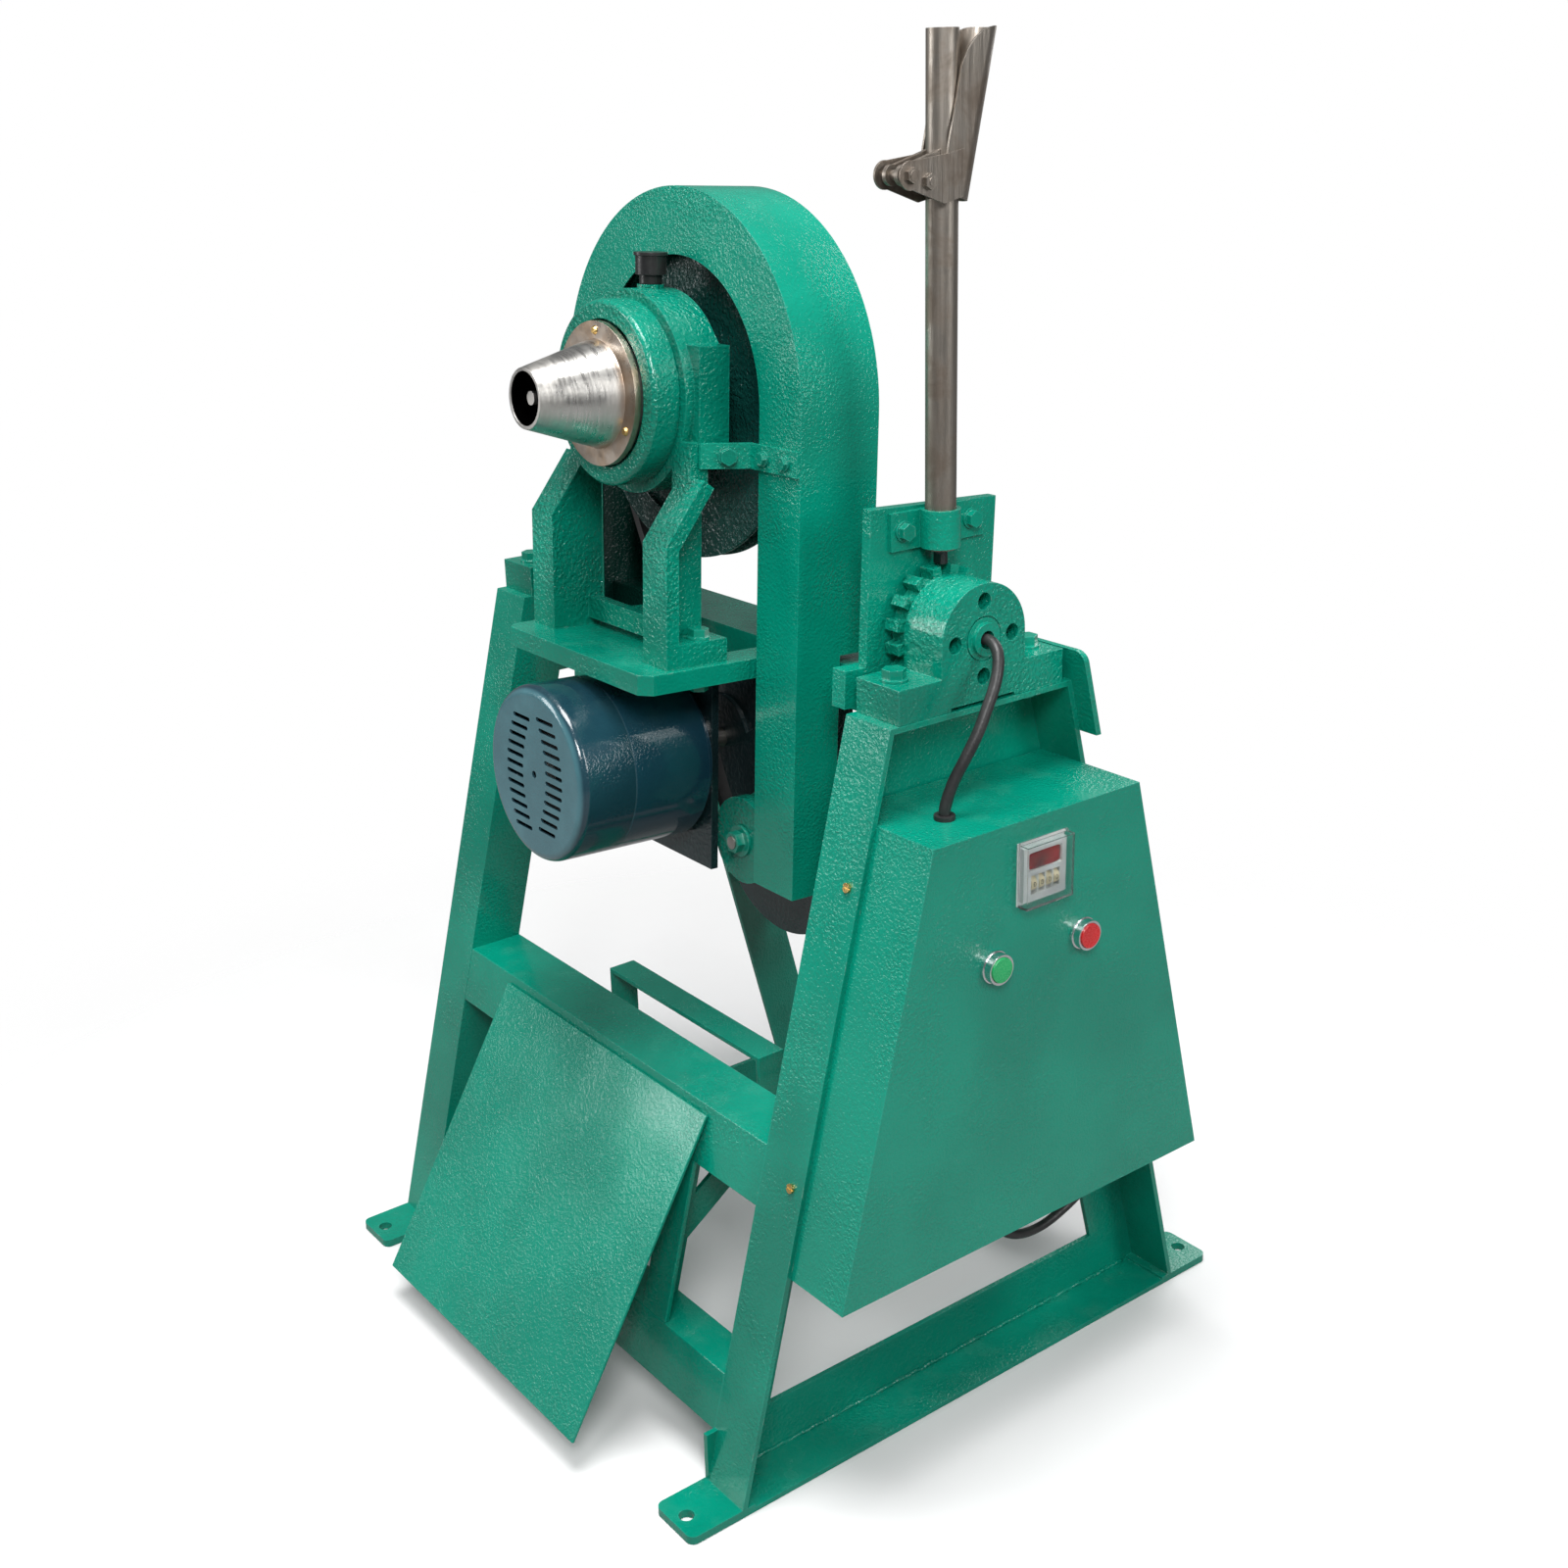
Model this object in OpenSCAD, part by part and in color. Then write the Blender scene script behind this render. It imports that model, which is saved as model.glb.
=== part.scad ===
// Tilting laboratory mill: a belt-driven taper spindle on a head that tilts between two A-frames.
// Millimetres, +Z up, origin on the floor at the middle of the footprint, operator's side towards -Y.

/* [Stand] */
// Clear width between the two side frames
frame_gap = 524; // [480:2:640]
// Height of the side frames, floor to cap
frame_h = 689; // [640:1:760]
// Distance from the middle to the outside of a leg at the floor
foot_reach = 280; // [250:1:340]
// Distance from the middle to the outside of a leg at the cap
cap_reach = 103; // [96:1:130]
// Flange width of the angle iron
angle_w = 56; // [45:1:70]
// Thickness of the angle iron
angle_t = 5; // [4:0.5:8]
// Thickness of the foot plates
foot_t = 8; // [6:1:12]
// Length that a foot plate stands proud of the leg
foot_out = 53; // [45:1:70]
// Bore of each foot bolt hole
foot_hole = 14; // [9:1:16]

/* [Head] */
// Height of the tilt axis above the side frames' caps
axis_up = 56; // [54:1:60]
// Nose-up lean of the head at rest, in degrees
head_lean = 3; // [0:0.5:5]
// Height of the spindle axis above the tilt axis
spindle_up = 177; // [170:1:190]
// Half width of the head's base plate
base_half = 117.5; // [112:0.5:124]
// Thickness of the base plate
base_t = 18; // [12:1:24]
// Distance from the tilt axis down to the top of the base plate
base_drop = 47; // [44:1:50]
// Length of the base plate in front of the tilt axis
base_front = 204; // [190:1:240]

/* [Guard] */
// Half width of the belt guard
guard_half = 182; // [176:1:200]
// Sheet thickness of the guard
guard_t = 2; // [1.5:0.5:3]
// Half width of the arched opening in the guard's faces
guard_open = 124.5; // [122:0.5:132]

/* [Drive] */
// Outer radius of the large pulley
pulley_r = 152; // [140:1:158]
// Outer radius of the small pulley
small_pulley_r = 41; // [36:1:46]
// Outer radius of the motor
motor_r = 81.5; // [74:0.5:84]
// Diameter of the spindle at its bearings
spindle_d = 60; // [50:1:65]
// Teeth on the motor pinion
pinion_teeth = 20; // [16:1:24]
// Teeth on the output gear
gear_teeth = 60; // [54:1:62]

/* [Nose] */
// Radius of the taper at its small end
nose_tip_r = 26; // [20:1:32]
// Radius of the taper at its large end
nose_base_r = 47; // [40:1:50]
// Length of the taper
nose_len = 71; // [60:1:90]

/* [Lever] */
// Outer diameter of the lever tube
tube_d = 26; // [24:1:27]
// Bore of the lever tube
tube_bore = 20; // [18:1:21]
// Height of the lever tube's top above the tilt axis
tube_top = 470; // [440:1:560]
// Teeth on the index wheel
index_teeth = 16; // [12:2:20]
// Outer radius of the index wheel
index_r = 54; // [50:1:54]

/* [Control box] */
// Depth of the control box
box_d = 117; // [100:1:140]
// Height of the control box's floor
box_z0 = 220; // [200:1:240]
// Height of the control box's top
box_z1 = 610; // [600:1:620]
// Sheet thickness of the control box
box_t = 2; // [1.5:0.5:3]
// Diameter of the push buttons' bezels
bezel_d = 29; // [28:1:32]

/* [Chute] */
// Half width of the discharge plate
chute_half = 178; // [150:1:200]
// Thickness of the discharge plate
chute_t = 3; // [2:0.5:5]
// How far the plate's lower edge stands in front of the middle
chute_out = 362; // [340:1:390]

/* [Hidden] */
$fn = 64;
fit = 0.3;
bore_fit = 0.05;
bolt_fit = 0.25;
frame_in = frame_gap / 2;
frame_out = frame_in + angle_w;
leg_slope = (foot_reach - cap_reach) / frame_h;
leg_lean = atan(leg_slope);
flange = angle_t / cos(leg_lean);
tilt_z = frame_h + axis_up;
spindle_z = tilt_z + spindle_up;
base_z = tilt_z - base_drop;
// Cross bars, posts and strap of the stand
bar_z1 = 319;
bar_z0 = bar_z1 - angle_w;
bar_depth = 58;
low_z0 = 53;
low_z1 = low_z0 + 54;
low_depth = 40;
post_x0 = 130;
post_x1 = 168;
post_depth = 38;
strap_w = 30;
strap_t = 5;
strap_y = -93;
strap_top = 316;
strap_knee = 247;
strap_fall = 34.6;
strap_len = 162;
// Pillow blocks
block_half = 93;
block_x0 = frame_in + 8;
block_x1 = frame_out - 1;
foot_x0 = frame_in + 1;
foot_y0 = 52;
foot_top = frame_h + 30;
bolt_x = frame_in + 28;
bolt_y = 75;
block_bolt_d = 12;
shaft_d = 36;
shaft_bore = 15;
face_hole_r = 7;
face_hole_pcd = 64;
// Head: side cheeks, rails and cross beam
cheek_x1 = frame_in - 12;
cheek_t = 10;
rail_t = 17;
rail_z0 = tilt_z - 62;
rail_z1 = tilt_z - 29;
beam_z1 = base_z + 2;
beam_z0 = beam_z1 - 38;
beam_half = 38;
beam_wall = 5;
arm_x0 = 85;
arm_y0 = -92;
// Guard
guard_y0 = -90;
guard_y1 = -6;
guard_low_y1 = -42;
guard_z0 = tilt_z - 256;
guard_cut_z = beam_z1 + 8;
guard_top_z = spindle_z - 9;
// Spindle housing
body_r = 88;
body_y0 = -140;
body_y1 = -98;
tail_y1 = -84;
tail_r = 72;
bearing_od = 110;
bearing_w = 20;
ring_r = 80;
ring_y0 = -167;
ring_bore_r = 63;
flange_r = 62;
screw_pcd = 108;
column_x0 = 75;
column_x1 = 111;
column_y0 = -176;
column_t = 13;
foot_bolt_x = 97;
foot_bolt_y = -133;
foot_bolt_d = 10;
pad_x = 95;
cap_y = -116;
cap_bore_r = 8;
// Straps from the housing to the guard
link_z0 = spindle_z - 56;
link_z1 = spindle_z - 34;
link_t = 3;
link_bolt_d = 6;
link_bolts = [guard_half - 46, guard_half - 17];
link_pts = [[pad_x + 2, -132], [pad_x + 2, -128], [pad_x + 20, guard_y0 - link_t / 2],
            [guard_half - 1, guard_y0 - link_t / 2]];
// Drive train
motor_z = tilt_z - 157;
motor_y0 = -245;
motor_y1 = -100;
motor_split_y = -188;
motor_shaft_d = 19;
motor_spigot_r = 40;
out_x = 100;
out_shaft_d = 24;
module_mm = 3;
gear_c = (pinion_teeth + gear_teeth) * module_mm / 2;
out_z = motor_z - sqrt(gear_c * gear_c - out_x * out_x);
gear_y0 = -28;
gear_y1 = -10;
case_y0 = -38;
case_y1 = 2;
case_wall = 5;
belt_y0 = -78;
belt_y1 = -52;
belt_mid = (belt_y0 + belt_y1) / 2;
belt_w = 12;
belt_h = 8;
nut_y = belt_y0 - 8;
// Lever, latch and grip
tube_x = cheek_x1 + tube_d / 2;
tube_z0 = tilt_z + 67;
tube_z1 = tilt_z + tube_top;
clamp_t = 4;
clamp_ends = [-46, 57];
clamp_bolts = [-33, 42];
pivot_y = -46;
pivot_z = tube_z1 - 105;
pin_y = -28;
pin_z = pivot_z - 5;
pin_r = 3;
pivot_r = 4;
grip_lean = 13;
grip_wall = 2;
grip_r = tube_d / 2 + 0.5 + grip_wall;
grip_len = 131;
grip_z0 = pivot_z - 19;
latch_d = 12;
latch_nose = 8;
collar_z = tube_z0 + 8;
collar_h = 12;
spring_turns = 9;
spring_pitch = 7;
spring_wire = 1.8;
seat_z = collar_z + collar_h + spring_turns * spring_pitch + 2 * spring_wire;
// Control box
box_gap = 0.1;
box_x0 = frame_in + angle_t + 3;
box_x1 = box_x0 + box_d;
timer_z = box_z1 - 47;
timer_half = 24;
button_y = 52;
button_z = box_z1 - 121;
button_r = 11;
wheel_step = 8.6;
screw_zs = [297, 556];
screw_x = frame_in + 41;
lead_hole = [frame_in + 80, -66];
loop_holes = [[frame_in + 68, 5], [frame_in + 68, 157]];
// Routes of the two cables, in the order they run
lead_d = 10;
lead_pts = [[300, 0, 745], [314, 0, 745], [326, 0, 744], [336, -3, 738], [343, -9, 727],
            [347, -17, 713], [349, -27, 697], [350, -37, 680], [348, -48, 661], [344, -58, 641],
            [342, -65, 621], [342, -66, 608], [342, -66, 596]];
loop_d = 9;
loop_pts = [[330, 5, 238], [330, 5, 222], [330, 6, 205], [330, 12, 186], [330, 25, 170],
            [330, 46, 160], [330, 72, 158], [330, 98, 164], [330, 122, 174], [330, 146, 188],
            [330, 156.4, 205], [330, 157, 222], [330, 157, 238]];

green = "#1f8a68";
blue_grey = "#2c4653";
steel = "#b9b5ab";
bare = "#8d867c";
black = "#1b1b1d";
brass = "#c9a45a";

// ---------- helpers ----------

// Plate of an outline given as [y, z] points, from x0 to x1
module yz_plate(x0, x1, pts) {
  translate([x0, 0, 0]) rotate([90, 0, 90]) linear_extrude(x1 - x0) polygon(pts);
}

// Solid of a child outline in x and z, from y0 to y1
module xz_solid(y0, y1) {
  translate([0, y1, 0]) rotate([90, 0, 0]) linear_extrude(y1 - y0) children();
}

// Box between two corners
module span(a, b) {
  translate(a) cube(b - a);
}

// Cylinder along X
module rod_x(x0, x1, y, z, r) {
  translate([x0, y, z]) rotate([0, 90, 0]) cylinder(r = r, h = x1 - x0);
}

// Cylinder along Y
module rod_y(y0, y1, x, z, r) {
  translate([x, y0, z]) rotate([-90, 0, 0]) cylinder(r = r, h = y1 - y0);
}

// Cylinder along Z
module rod_z(z0, z1, x, y, r) {
  translate([x, y, z0]) cylinder(r = r, h = z1 - z0);
}

// Hexagon head on a washer, standing on z = 0 with its shank below
module hex_bolt(flats, head, shank_d, shank) {
  washer = 2;
  cylinder(d = flats * 1.35, h = washer);
  translate([0, 0, washer]) cylinder(d = flats / cos(30), h = head, $fn = 6);
  translate([0, 0, -shank]) cylinder(d = shank_d, h = shank + washer + 1);
}

// Hexagon nut hanging below z = 0
module hex_nut(flats, deep) {
  translate([0, 0, -deep]) cylinder(d = flats / cos(30), h = deep, $fn = 6);
}

// Leans the head back about the tilt axis
module in_head() {
  translate([0, 0, tilt_z]) rotate([-head_lean, 0, 0]) translate([0, 0, -tilt_z]) children();
}

// Mirror image on both sides of the middle
module both_sides() {
  children();
  mirror([1, 0, 0]) children();
}

function leg_y(z) = foot_reach - leg_slope * z;

// Strip of even width along a line of points
function unit(v) = v / norm(v);
function strip_edge(p, i, d) =
  let (a = i > 0 ? unit(p[i] - p[i - 1]) : unit(p[1] - p[0]),
    b = i < len(p) - 1 ? unit(p[i + 1] - p[i]) : a,
    n = unit([-a[1] - b[1], a[0] + b[0]]))
  p[i] + n * d / (n * [-a[1], a[0]]);
module strip(p, w) {
  m = len(p) - 1;
  polygon(concat([for (i = [0 : m]) strip_edge(p, i, w / 2)],
    [for (i = [m : -1 : 0]) strip_edge(p, i, -w / 2)]));
}

// Sweep of a round section along points; the frame keeps its first side direction
function tangent(p, i) = unit(p[min(i + 1, len(p) - 1)] - p[max(i - 1, 0)]);
function ring_at(p, i, r, n, up) =
  let (t = tangent(p, i), a = unit(cross(t, up)), b = cross(a, t))
  [for (k = [0 : n - 1]) p[i] + r * (a * cos(360 * k / n) + b * sin(360 * k / n))];
module swept(p, r, n, up) {
  m = len(p);
  points = [for (i = [0 : m - 1]) each ring_at(p, i, r, n, up)];
  walls = [for (i = [0 : m - 2], k = [0 : n - 1])
    let (a = i * n + k, b = i * n + (k + 1) % n) each [[a, a + n, b + n], [a, b + n, b]]];
  first = [for (k = [0 : n - 1]) k];
  last = [for (k = [n - 1 : -1 : 0]) (m - 1) * n + k];
  polyhedron(points, concat(walls, [first, last]));
}

// ---------- stand ----------

// One side frame: two angle-iron legs, cap, bottom rail and two foot plates
module side_frame() {
  web = angle_w / cos(leg_lean);
  web_h = 85;
  difference() {
    union() {
      for (s = [-1, 1]) {
        leg_plate(s, frame_in, frame_out, foot_t, frame_h, flange);
        leg_plate(s, frame_in, frame_in + angle_t, foot_t, frame_h, web);
        foot_plate(s);
      }
      span([frame_in, -leg_y(frame_h), frame_h - angle_t], [frame_out, leg_y(frame_h), frame_h]);
      span([frame_in, -leg_y(frame_h) + 1, frame_h - web_h],
        [frame_in + angle_t, leg_y(frame_h) - 1, frame_h - 1]);
      span([frame_in, -leg_y(0) + 2, 0], [frame_in + angle_t, leg_y(0) - 2, angle_w]);
      span([frame_in, -leg_y(0) + 2, 0], [frame_out, leg_y(0) - 2, angle_t]);
    }
    for (s = [-1, 1]) {
      rod_z(-1, foot_t + 1, frame_in + 29, s * (foot_reach + foot_out - 14), foot_hole / 2);
      rod_z(frame_h - angle_t - 1, frame_h + 1, bolt_x, s * bolt_y, block_bolt_d / 2 + bolt_fit);
    }
  }
}

// Plate in the plane of a leg, front (s = -1) or rear (s = 1), of level depth d
module leg_plate(s, x0, x1, z0, z1, d) {
  yz_plate(x0, x1, [[s * leg_y(z0), z0], [s * leg_y(z1), z1],
    [s * (leg_y(z1) - d), z1], [s * (leg_y(z0) - d), z0]]);
}

// Foot plate with rounded outer corners, drilled in side_frame
module foot_plate(s) {
  far = foot_reach + foot_out;
  corner = 8;
  span([frame_in, min(s * (far - corner), s * (foot_reach - 16)), 0],
    [frame_out, max(s * (far - corner), s * (foot_reach - 16)), foot_t]);
  span([frame_in + corner, min(s * far, s * (far - corner)) - 0.01, 0],
    [frame_out - corner, max(s * far, s * (far - corner)) + 0.01, foot_t]);
  for (x = [frame_in + corner, frame_out - corner])
    translate([x, s * (far - corner), 0]) cylinder(r = corner, h = foot_t);
}

module side_frame_right() {
  color(green) difference() {
    side_frame();
    at_box_screws() rod_z(-10, 1, 0, 0, 2 + bolt_fit);
  }
}
module side_frame_left() { color(green) mirror([1, 0, 0]) side_frame(); }

// Angle-iron bar between the frames: one flange in the leg's plane, one level flange inwards
module angle_bar(s, z0, z1, depth) {
  leg_plate(s, -frame_in, frame_in, z0, z1, flange);
  leg_plate(s, -frame_in, frame_in, z1 - angle_t, z1, depth);
}
module crossbars() { color(green) for (s = [-1, 1]) angle_bar(s, bar_z0, bar_z1, bar_depth); }
module front_lower_bar() { color(green) angle_bar(-1, low_z0, low_z1, low_depth); }

// Two angle-iron posts behind the discharge plate, in the plane of the front legs
module posts() {
  color(green) both_sides() {
    leg_plate(-1, post_x0, post_x1, low_z1, bar_z0, flange);
    leg_plate(-1, post_x0, post_x0 + angle_t, low_z1, bar_z0, post_depth);
  }
}

// Flat strap: level top, legs that drop and run forward down to the posts
module strap_stay() {
  half = strap_w / 2;
  fall = [-cos(strap_fall), -sin(strap_fall)];
  color(green) {
    span([-post_x0, strap_y - half, strap_top - strap_t], [post_x0, strap_y + half, strap_top]);
    both_sides() translate([post_x0 - strap_t, 0, 0]) rotate([90, 0, 90]) linear_extrude(strap_t)
      strip([[strap_y, strap_top], [strap_y, strap_knee], [strap_y, strap_knee] + strap_len * fall], strap_w);
  }
}

// Sloping discharge plate hung on the front crossbar
module chute_plate() {
  top = [-leg_y(bar_z1 - 9), bar_z1 - 9];
  low = [-chute_out, 35];
  down = unit(low - top);
  out = [down[1], -down[0]] * chute_t;
  weld_z = top[1] - 12;
  color(green) yz_plate(-chute_half, chute_half, [top, low, low + out, top + out]);
  color(green) yz_plate(-chute_half + 6, chute_half - 6,
    [top, [-leg_y(weld_z), weld_z], top + down * (top[1] - weld_z) / -down[1] + out / 2]);
}

// Upright stop plate behind the right cap, which the lever meets when the head is thrown back
module rear_stop_plate() {
  x1 = frame_out + 20;
  corner = 10;
  color(green) intersection() {
    leg_plate(1, frame_in, x1, frame_h - 49, foot_top, -6);
    xz_solid(0, foot_reach) union() {
      translate([frame_in, frame_h - 49]) square([x1 - corner - frame_in, foot_top - frame_h + 49]);
      translate([frame_in, frame_h - 49]) square([x1 - frame_in, foot_top - frame_h + 49 - corner]);
      translate([x1 - corner, foot_top - corner]) circle(r = corner);
    }
  }
}

// Pillow block: half-round body, two feet, four blind face holes and a relief underneath
module pillow_block() {
  groove_r = shaft_d / 2 + 0.3;
  color(green) difference() {
    union() {
      rod_x(block_x0, block_x1, 0, tilt_z, block_r());
      span([block_x0, -block_r(), frame_h], [block_x1, block_r(), tilt_z]);
      span([foot_x0, -block_half, frame_h], [block_x1, -foot_y0, foot_top]);
      span([foot_x0, foot_y0, frame_h], [block_x1, block_half, foot_top]);
      span([block_x0, -block_half, frame_h], [block_x1, block_half, foot_top]);
    }
    rod_x(block_x0 - 20, block_x1 + 20, 0, tilt_z, shaft_d / 2 + bore_fit);
    for (a = [0 : 90 : 270]) rod_x(block_x1 - 18, block_x1 + 5,
      face_hole_pcd / 2 * cos(a), tilt_z + face_hole_pcd / 2 * sin(a), face_hole_r);
    rod_x(block_x1 - 1.5, block_x1 + 5, 0, tilt_z, groove_r + 1);
    span([block_x0 - 10, -36, frame_h - 1], [block_x1 + 1, 36, frame_h + 3]);
    for (s = [-1, 1]) rod_z(frame_h - 5, foot_top + 5, bolt_x, s * bolt_y, block_bolt_d / 2 + bolt_fit);
  }
}
function block_r() = axis_up - 9;
module pillow_block_right() { pillow_block(); }
module pillow_block_left() { mirror([1, 0, 0]) pillow_block(); }

// Toothed index wheel, fixed to the inner face of the right pillow block
module index_wheel() {
  tooth_h = 9;
  tooth_w = 9;
  x0 = block_x0 - 16;
  color(green) difference() {
    union() {
      rod_x(x0, block_x0, 0, tilt_z, index_r - tooth_h);
      for (i = [0 : index_teeth - 1]) translate([x0, 0, tilt_z]) rotate([(i + 0.5) * 360 / index_teeth, 0, 0])
        translate([0, -tooth_w / 2, index_r - tooth_h - 3]) cube([block_x0 - x0, tooth_w, tooth_h + 3]);
    }
    rod_x(x0 - 1, block_x0 + 1, 0, tilt_z, shaft_d / 2 + fit);
  }
}

// Four hexagon bolts with washers, two to a pillow block
module block_bolts() {
  color(green) both_sides() for (s = [-1, 1]) {
    translate([bolt_x, s * bolt_y, foot_top]) hex_bolt(18, 8, block_bolt_d, foot_top - frame_h + 16);
    translate([bolt_x, s * bolt_y, frame_h - angle_t]) hex_nut(18, 9);
  }
}

// ---------- head ----------

// Base plate with its two arms, cross beam and side rails, welded
module head_base() {
  chamfer = 10;
  color(green) in_head() difference() {
    union() {
      linear_zone(base_z - base_t, base_z, [[-base_half, arm_y0], [-base_half, chamfer - base_front],
        [chamfer - base_half, -base_front], [base_half - chamfer, -base_front],
        [base_half, chamfer - base_front], [base_half, arm_y0]]);
      both_sides() span([arm_x0, arm_y0 - 1, base_z - base_t], [base_half, 1 - beam_half, base_z]);
      span([-cheek_x1 + 1, -beam_half, beam_z0], [cheek_x1 - 1, beam_half, beam_z1]);
      both_sides() span([cheek_x1 - rail_t, -92, rail_z0], [cheek_x1, 80, rail_z1]);
    }
    span([rail_t - cheek_x1, beam_wall - beam_half, beam_z0 + beam_wall],
      [cheek_x1 - rail_t, beam_half - beam_wall, beam_z1 - beam_wall]);
    both_sides() rod_z(base_z - base_t - 1, base_z + 1, foot_bolt_x, foot_bolt_y, foot_bolt_d / 2 + bolt_fit);
  }
}

// Cheek plate that carries a trunnion
module cheek(top, half) {
  difference() {
    span([cheek_x1 - cheek_t, -half, rail_z1], [cheek_x1, half, top]);
    rod_x(cheek_x1 - 20, cheek_x1 + 20, 0, tilt_z, shaft_d / 2 + bore_fit);
  }
}
module lever_cheek() {
  color(green) difference() {
    in_head() cheek(tilt_z + 103, 70);
    at_clamp_bolts() rod_x(cheek_x1 - 20, cheek_x1 + 20, 0, 0, 4 + bolt_fit);
  }
}
module plain_cheek() { color(green) in_head() mirror([1, 0, 0]) cheek(tilt_z + 45, 45); }

// Hollow trunnions, each with a collar welded inside its cheek
module trunnions() {
  color(green) in_head() both_sides() difference() {
    union() {
      rod_x(cheek_x1 - cheek_t, block_x1, 0, tilt_z, shaft_d / 2);
      rod_x(cheek_x1 - cheek_t - 8, cheek_x1 - cheek_t, 0, tilt_z, 28);
      rod_x(block_x1 - 1, block_x1 + 4, 0, tilt_z, 14);
    }
    rod_x(cheek_x1 - 40, block_x1 + 10, 0, tilt_z, shaft_bore / 2);
  }
}

// Arch outline: half round on straight sides down to z0
module arch(r, z0) {
  translate([0, guard_top_z]) circle(r = r, $fn = 96);
  translate([-r, z0]) square([2 * r, guard_top_z - z0]);
}

// Belt guard of bent sheet, open below and through the middle of both faces
module belt_guard() {
  color(green) in_head() difference() {
    union() {
      difference() {
        xz_solid(guard_y0, guard_y1) arch(guard_half, guard_z0);
        xz_solid(guard_y0 + guard_t, guard_y1 - guard_t) arch(guard_half - guard_t, guard_z0 - 5);
        span([-guard_half - 1, guard_low_y1, guard_z0 - 5], [guard_half + 1, guard_y1 + 1, guard_cut_z]);
      }
      both_sides() span([guard_open - 1, guard_low_y1 - guard_t, guard_z0],
        [guard_half, guard_low_y1, guard_cut_z + guard_t]);
      both_sides() span([guard_open - 1, guard_low_y1 - guard_t, guard_cut_z],
        [guard_half, guard_y1, guard_cut_z + guard_t]);
    }
    xz_solid(guard_y0 - 5, guard_y1 + 5) arch(guard_open, guard_z0 - 5);
    at_link_bolts() rod_y(guard_y0 - 5, guard_y0 + 5, 0, 0, link_bolt_d / 2 + bolt_fit);
  }
}

// Places of the bolts that hold the straps to the guard, and of the lever clamp's bolts
module at_link_bolts() {
  both_sides() for (x = link_bolts) translate([x, 0, (link_z0 + link_z1) / 2]) children();
}
module at_clamp_bolts() {
  for (y = clamp_bolts) translate([0, y, tube_z0 + 18]) children();
}

// Bent straps from the housing's pads to the guard's face
module guard_straps() {
  color(green) in_head() difference() {
    both_sides() translate([0, 0, link_z0]) linear_extrude(link_z1 - link_z0) strip(link_pts, link_t);
    at_link_bolts() rod_y(guard_y0 - 10, guard_y0 + 5, 0, 0, link_bolt_d / 2 + bolt_fit);
  }
}

// Prism of an outline in x and y between two heights
module linear_zone(z0, z1, pts) {
  translate([0, 0, z0]) linear_extrude(z1 - z0) polygon(pts);
}

// Cast pedestal: bored body, side pads, columns with feet, low web and filler boss
module bearing_pedestal() {
  knee_z = base_z + 105;
  top_z = spindle_z - 34;
  web_x1 = foot_bolt_x - 11.2;
  color(green) in_head() difference() {
    union() {
      rod_y(body_y0, body_y1, 0, spindle_z, body_r);
      rod_y(body_y1 - 1, tail_y1, 0, spindle_z, tail_r);
      both_sides() span([40, -131, spindle_z - 40], [pad_x, -100, spindle_z + 46]);
      both_sides() translate([column_x0, 0, 0]) rotate([90, 0, 90]) linear_extrude(column_x1 - column_x0)
        strip([[column_y0 + column_t / 2, base_z], [column_y0 + column_t / 2, knee_z],
          [-132, knee_z + 52]], column_t);
      both_sides() span([column_x0 - 8, -140, knee_z + 40], [pad_x, -122, top_z]);
      both_sides() yz_plate(column_x0, web_x1, [[column_y0 + 2, base_z], [column_y0 + 2, knee_z],
        [-138, knee_z + 48], [-122, top_z], [-122, base_z]]);
      both_sides() span([column_x0, column_y0 + 2, base_z], [column_x1, -112, base_z + 21]);
      span([-column_x0 - 1, -138, base_z + 7], [column_x0 + 1, -127, base_z + 27]);
      rod_z(spindle_z + body_r - 4, spindle_z + body_r + 3, 0, cap_y, 12);
    }
    rod_y(body_y0 - 1, tail_y1 - 6, 0, spindle_z, bearing_od / 2 + bore_fit);
    rod_y(tail_y1 - 10, tail_y1 + 5, 0, spindle_z, spindle_d / 2 + 2);
    rod_z(spindle_z + 40, spindle_z + body_r + 10, 0, cap_y, cap_bore_r + bore_fit);
    both_sides() rod_z(base_z - 5, base_z + 60, foot_bolt_x, foot_bolt_y, foot_bolt_d / 2 + bolt_fit);
  }
}

// Bolts and nuts of the pedestal's feet, the guard straps and the lever clamp
module head_bolts() {
  diagonal = unit(link_pts[2] - link_pts[1]);
  middle = (link_pts[1] + link_pts[2]) / 2 + [diagonal[1], -diagonal[0]] * link_t / 2;
  color(green) in_head() {
    both_sides() {
      translate([foot_bolt_x, foot_bolt_y, base_z + 21]) hex_bolt(16, 7, foot_bolt_d, 21 + base_t + 9);
      translate([foot_bolt_x, foot_bolt_y, base_z - base_t]) hex_nut(16, 8);
      translate([middle[0], middle[1], (link_z0 + link_z1) / 2])
        rotate([0, 90, atan2(-diagonal[0], diagonal[1])]) hex_bolt(13, 6, 2, 0);
    }
    at_link_bolts() translate([0, guard_y0 - link_t, 0]) rotate([90, 0, 0]) {
      hex_bolt(10, 4, link_bolt_d, 12);
      translate([0, 0, -link_t - guard_t]) hex_nut(10, 5);
    }
  }
  color(green) at_clamp_bolts() translate([cheek_x1 + clamp_t, 0, 0]) rotate([0, 90, 0]) {
    hex_bolt(13, 6, 8, 22);
    translate([0, 0, -clamp_t - cheek_t]) hex_nut(13, 6);
  }
}

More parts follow.
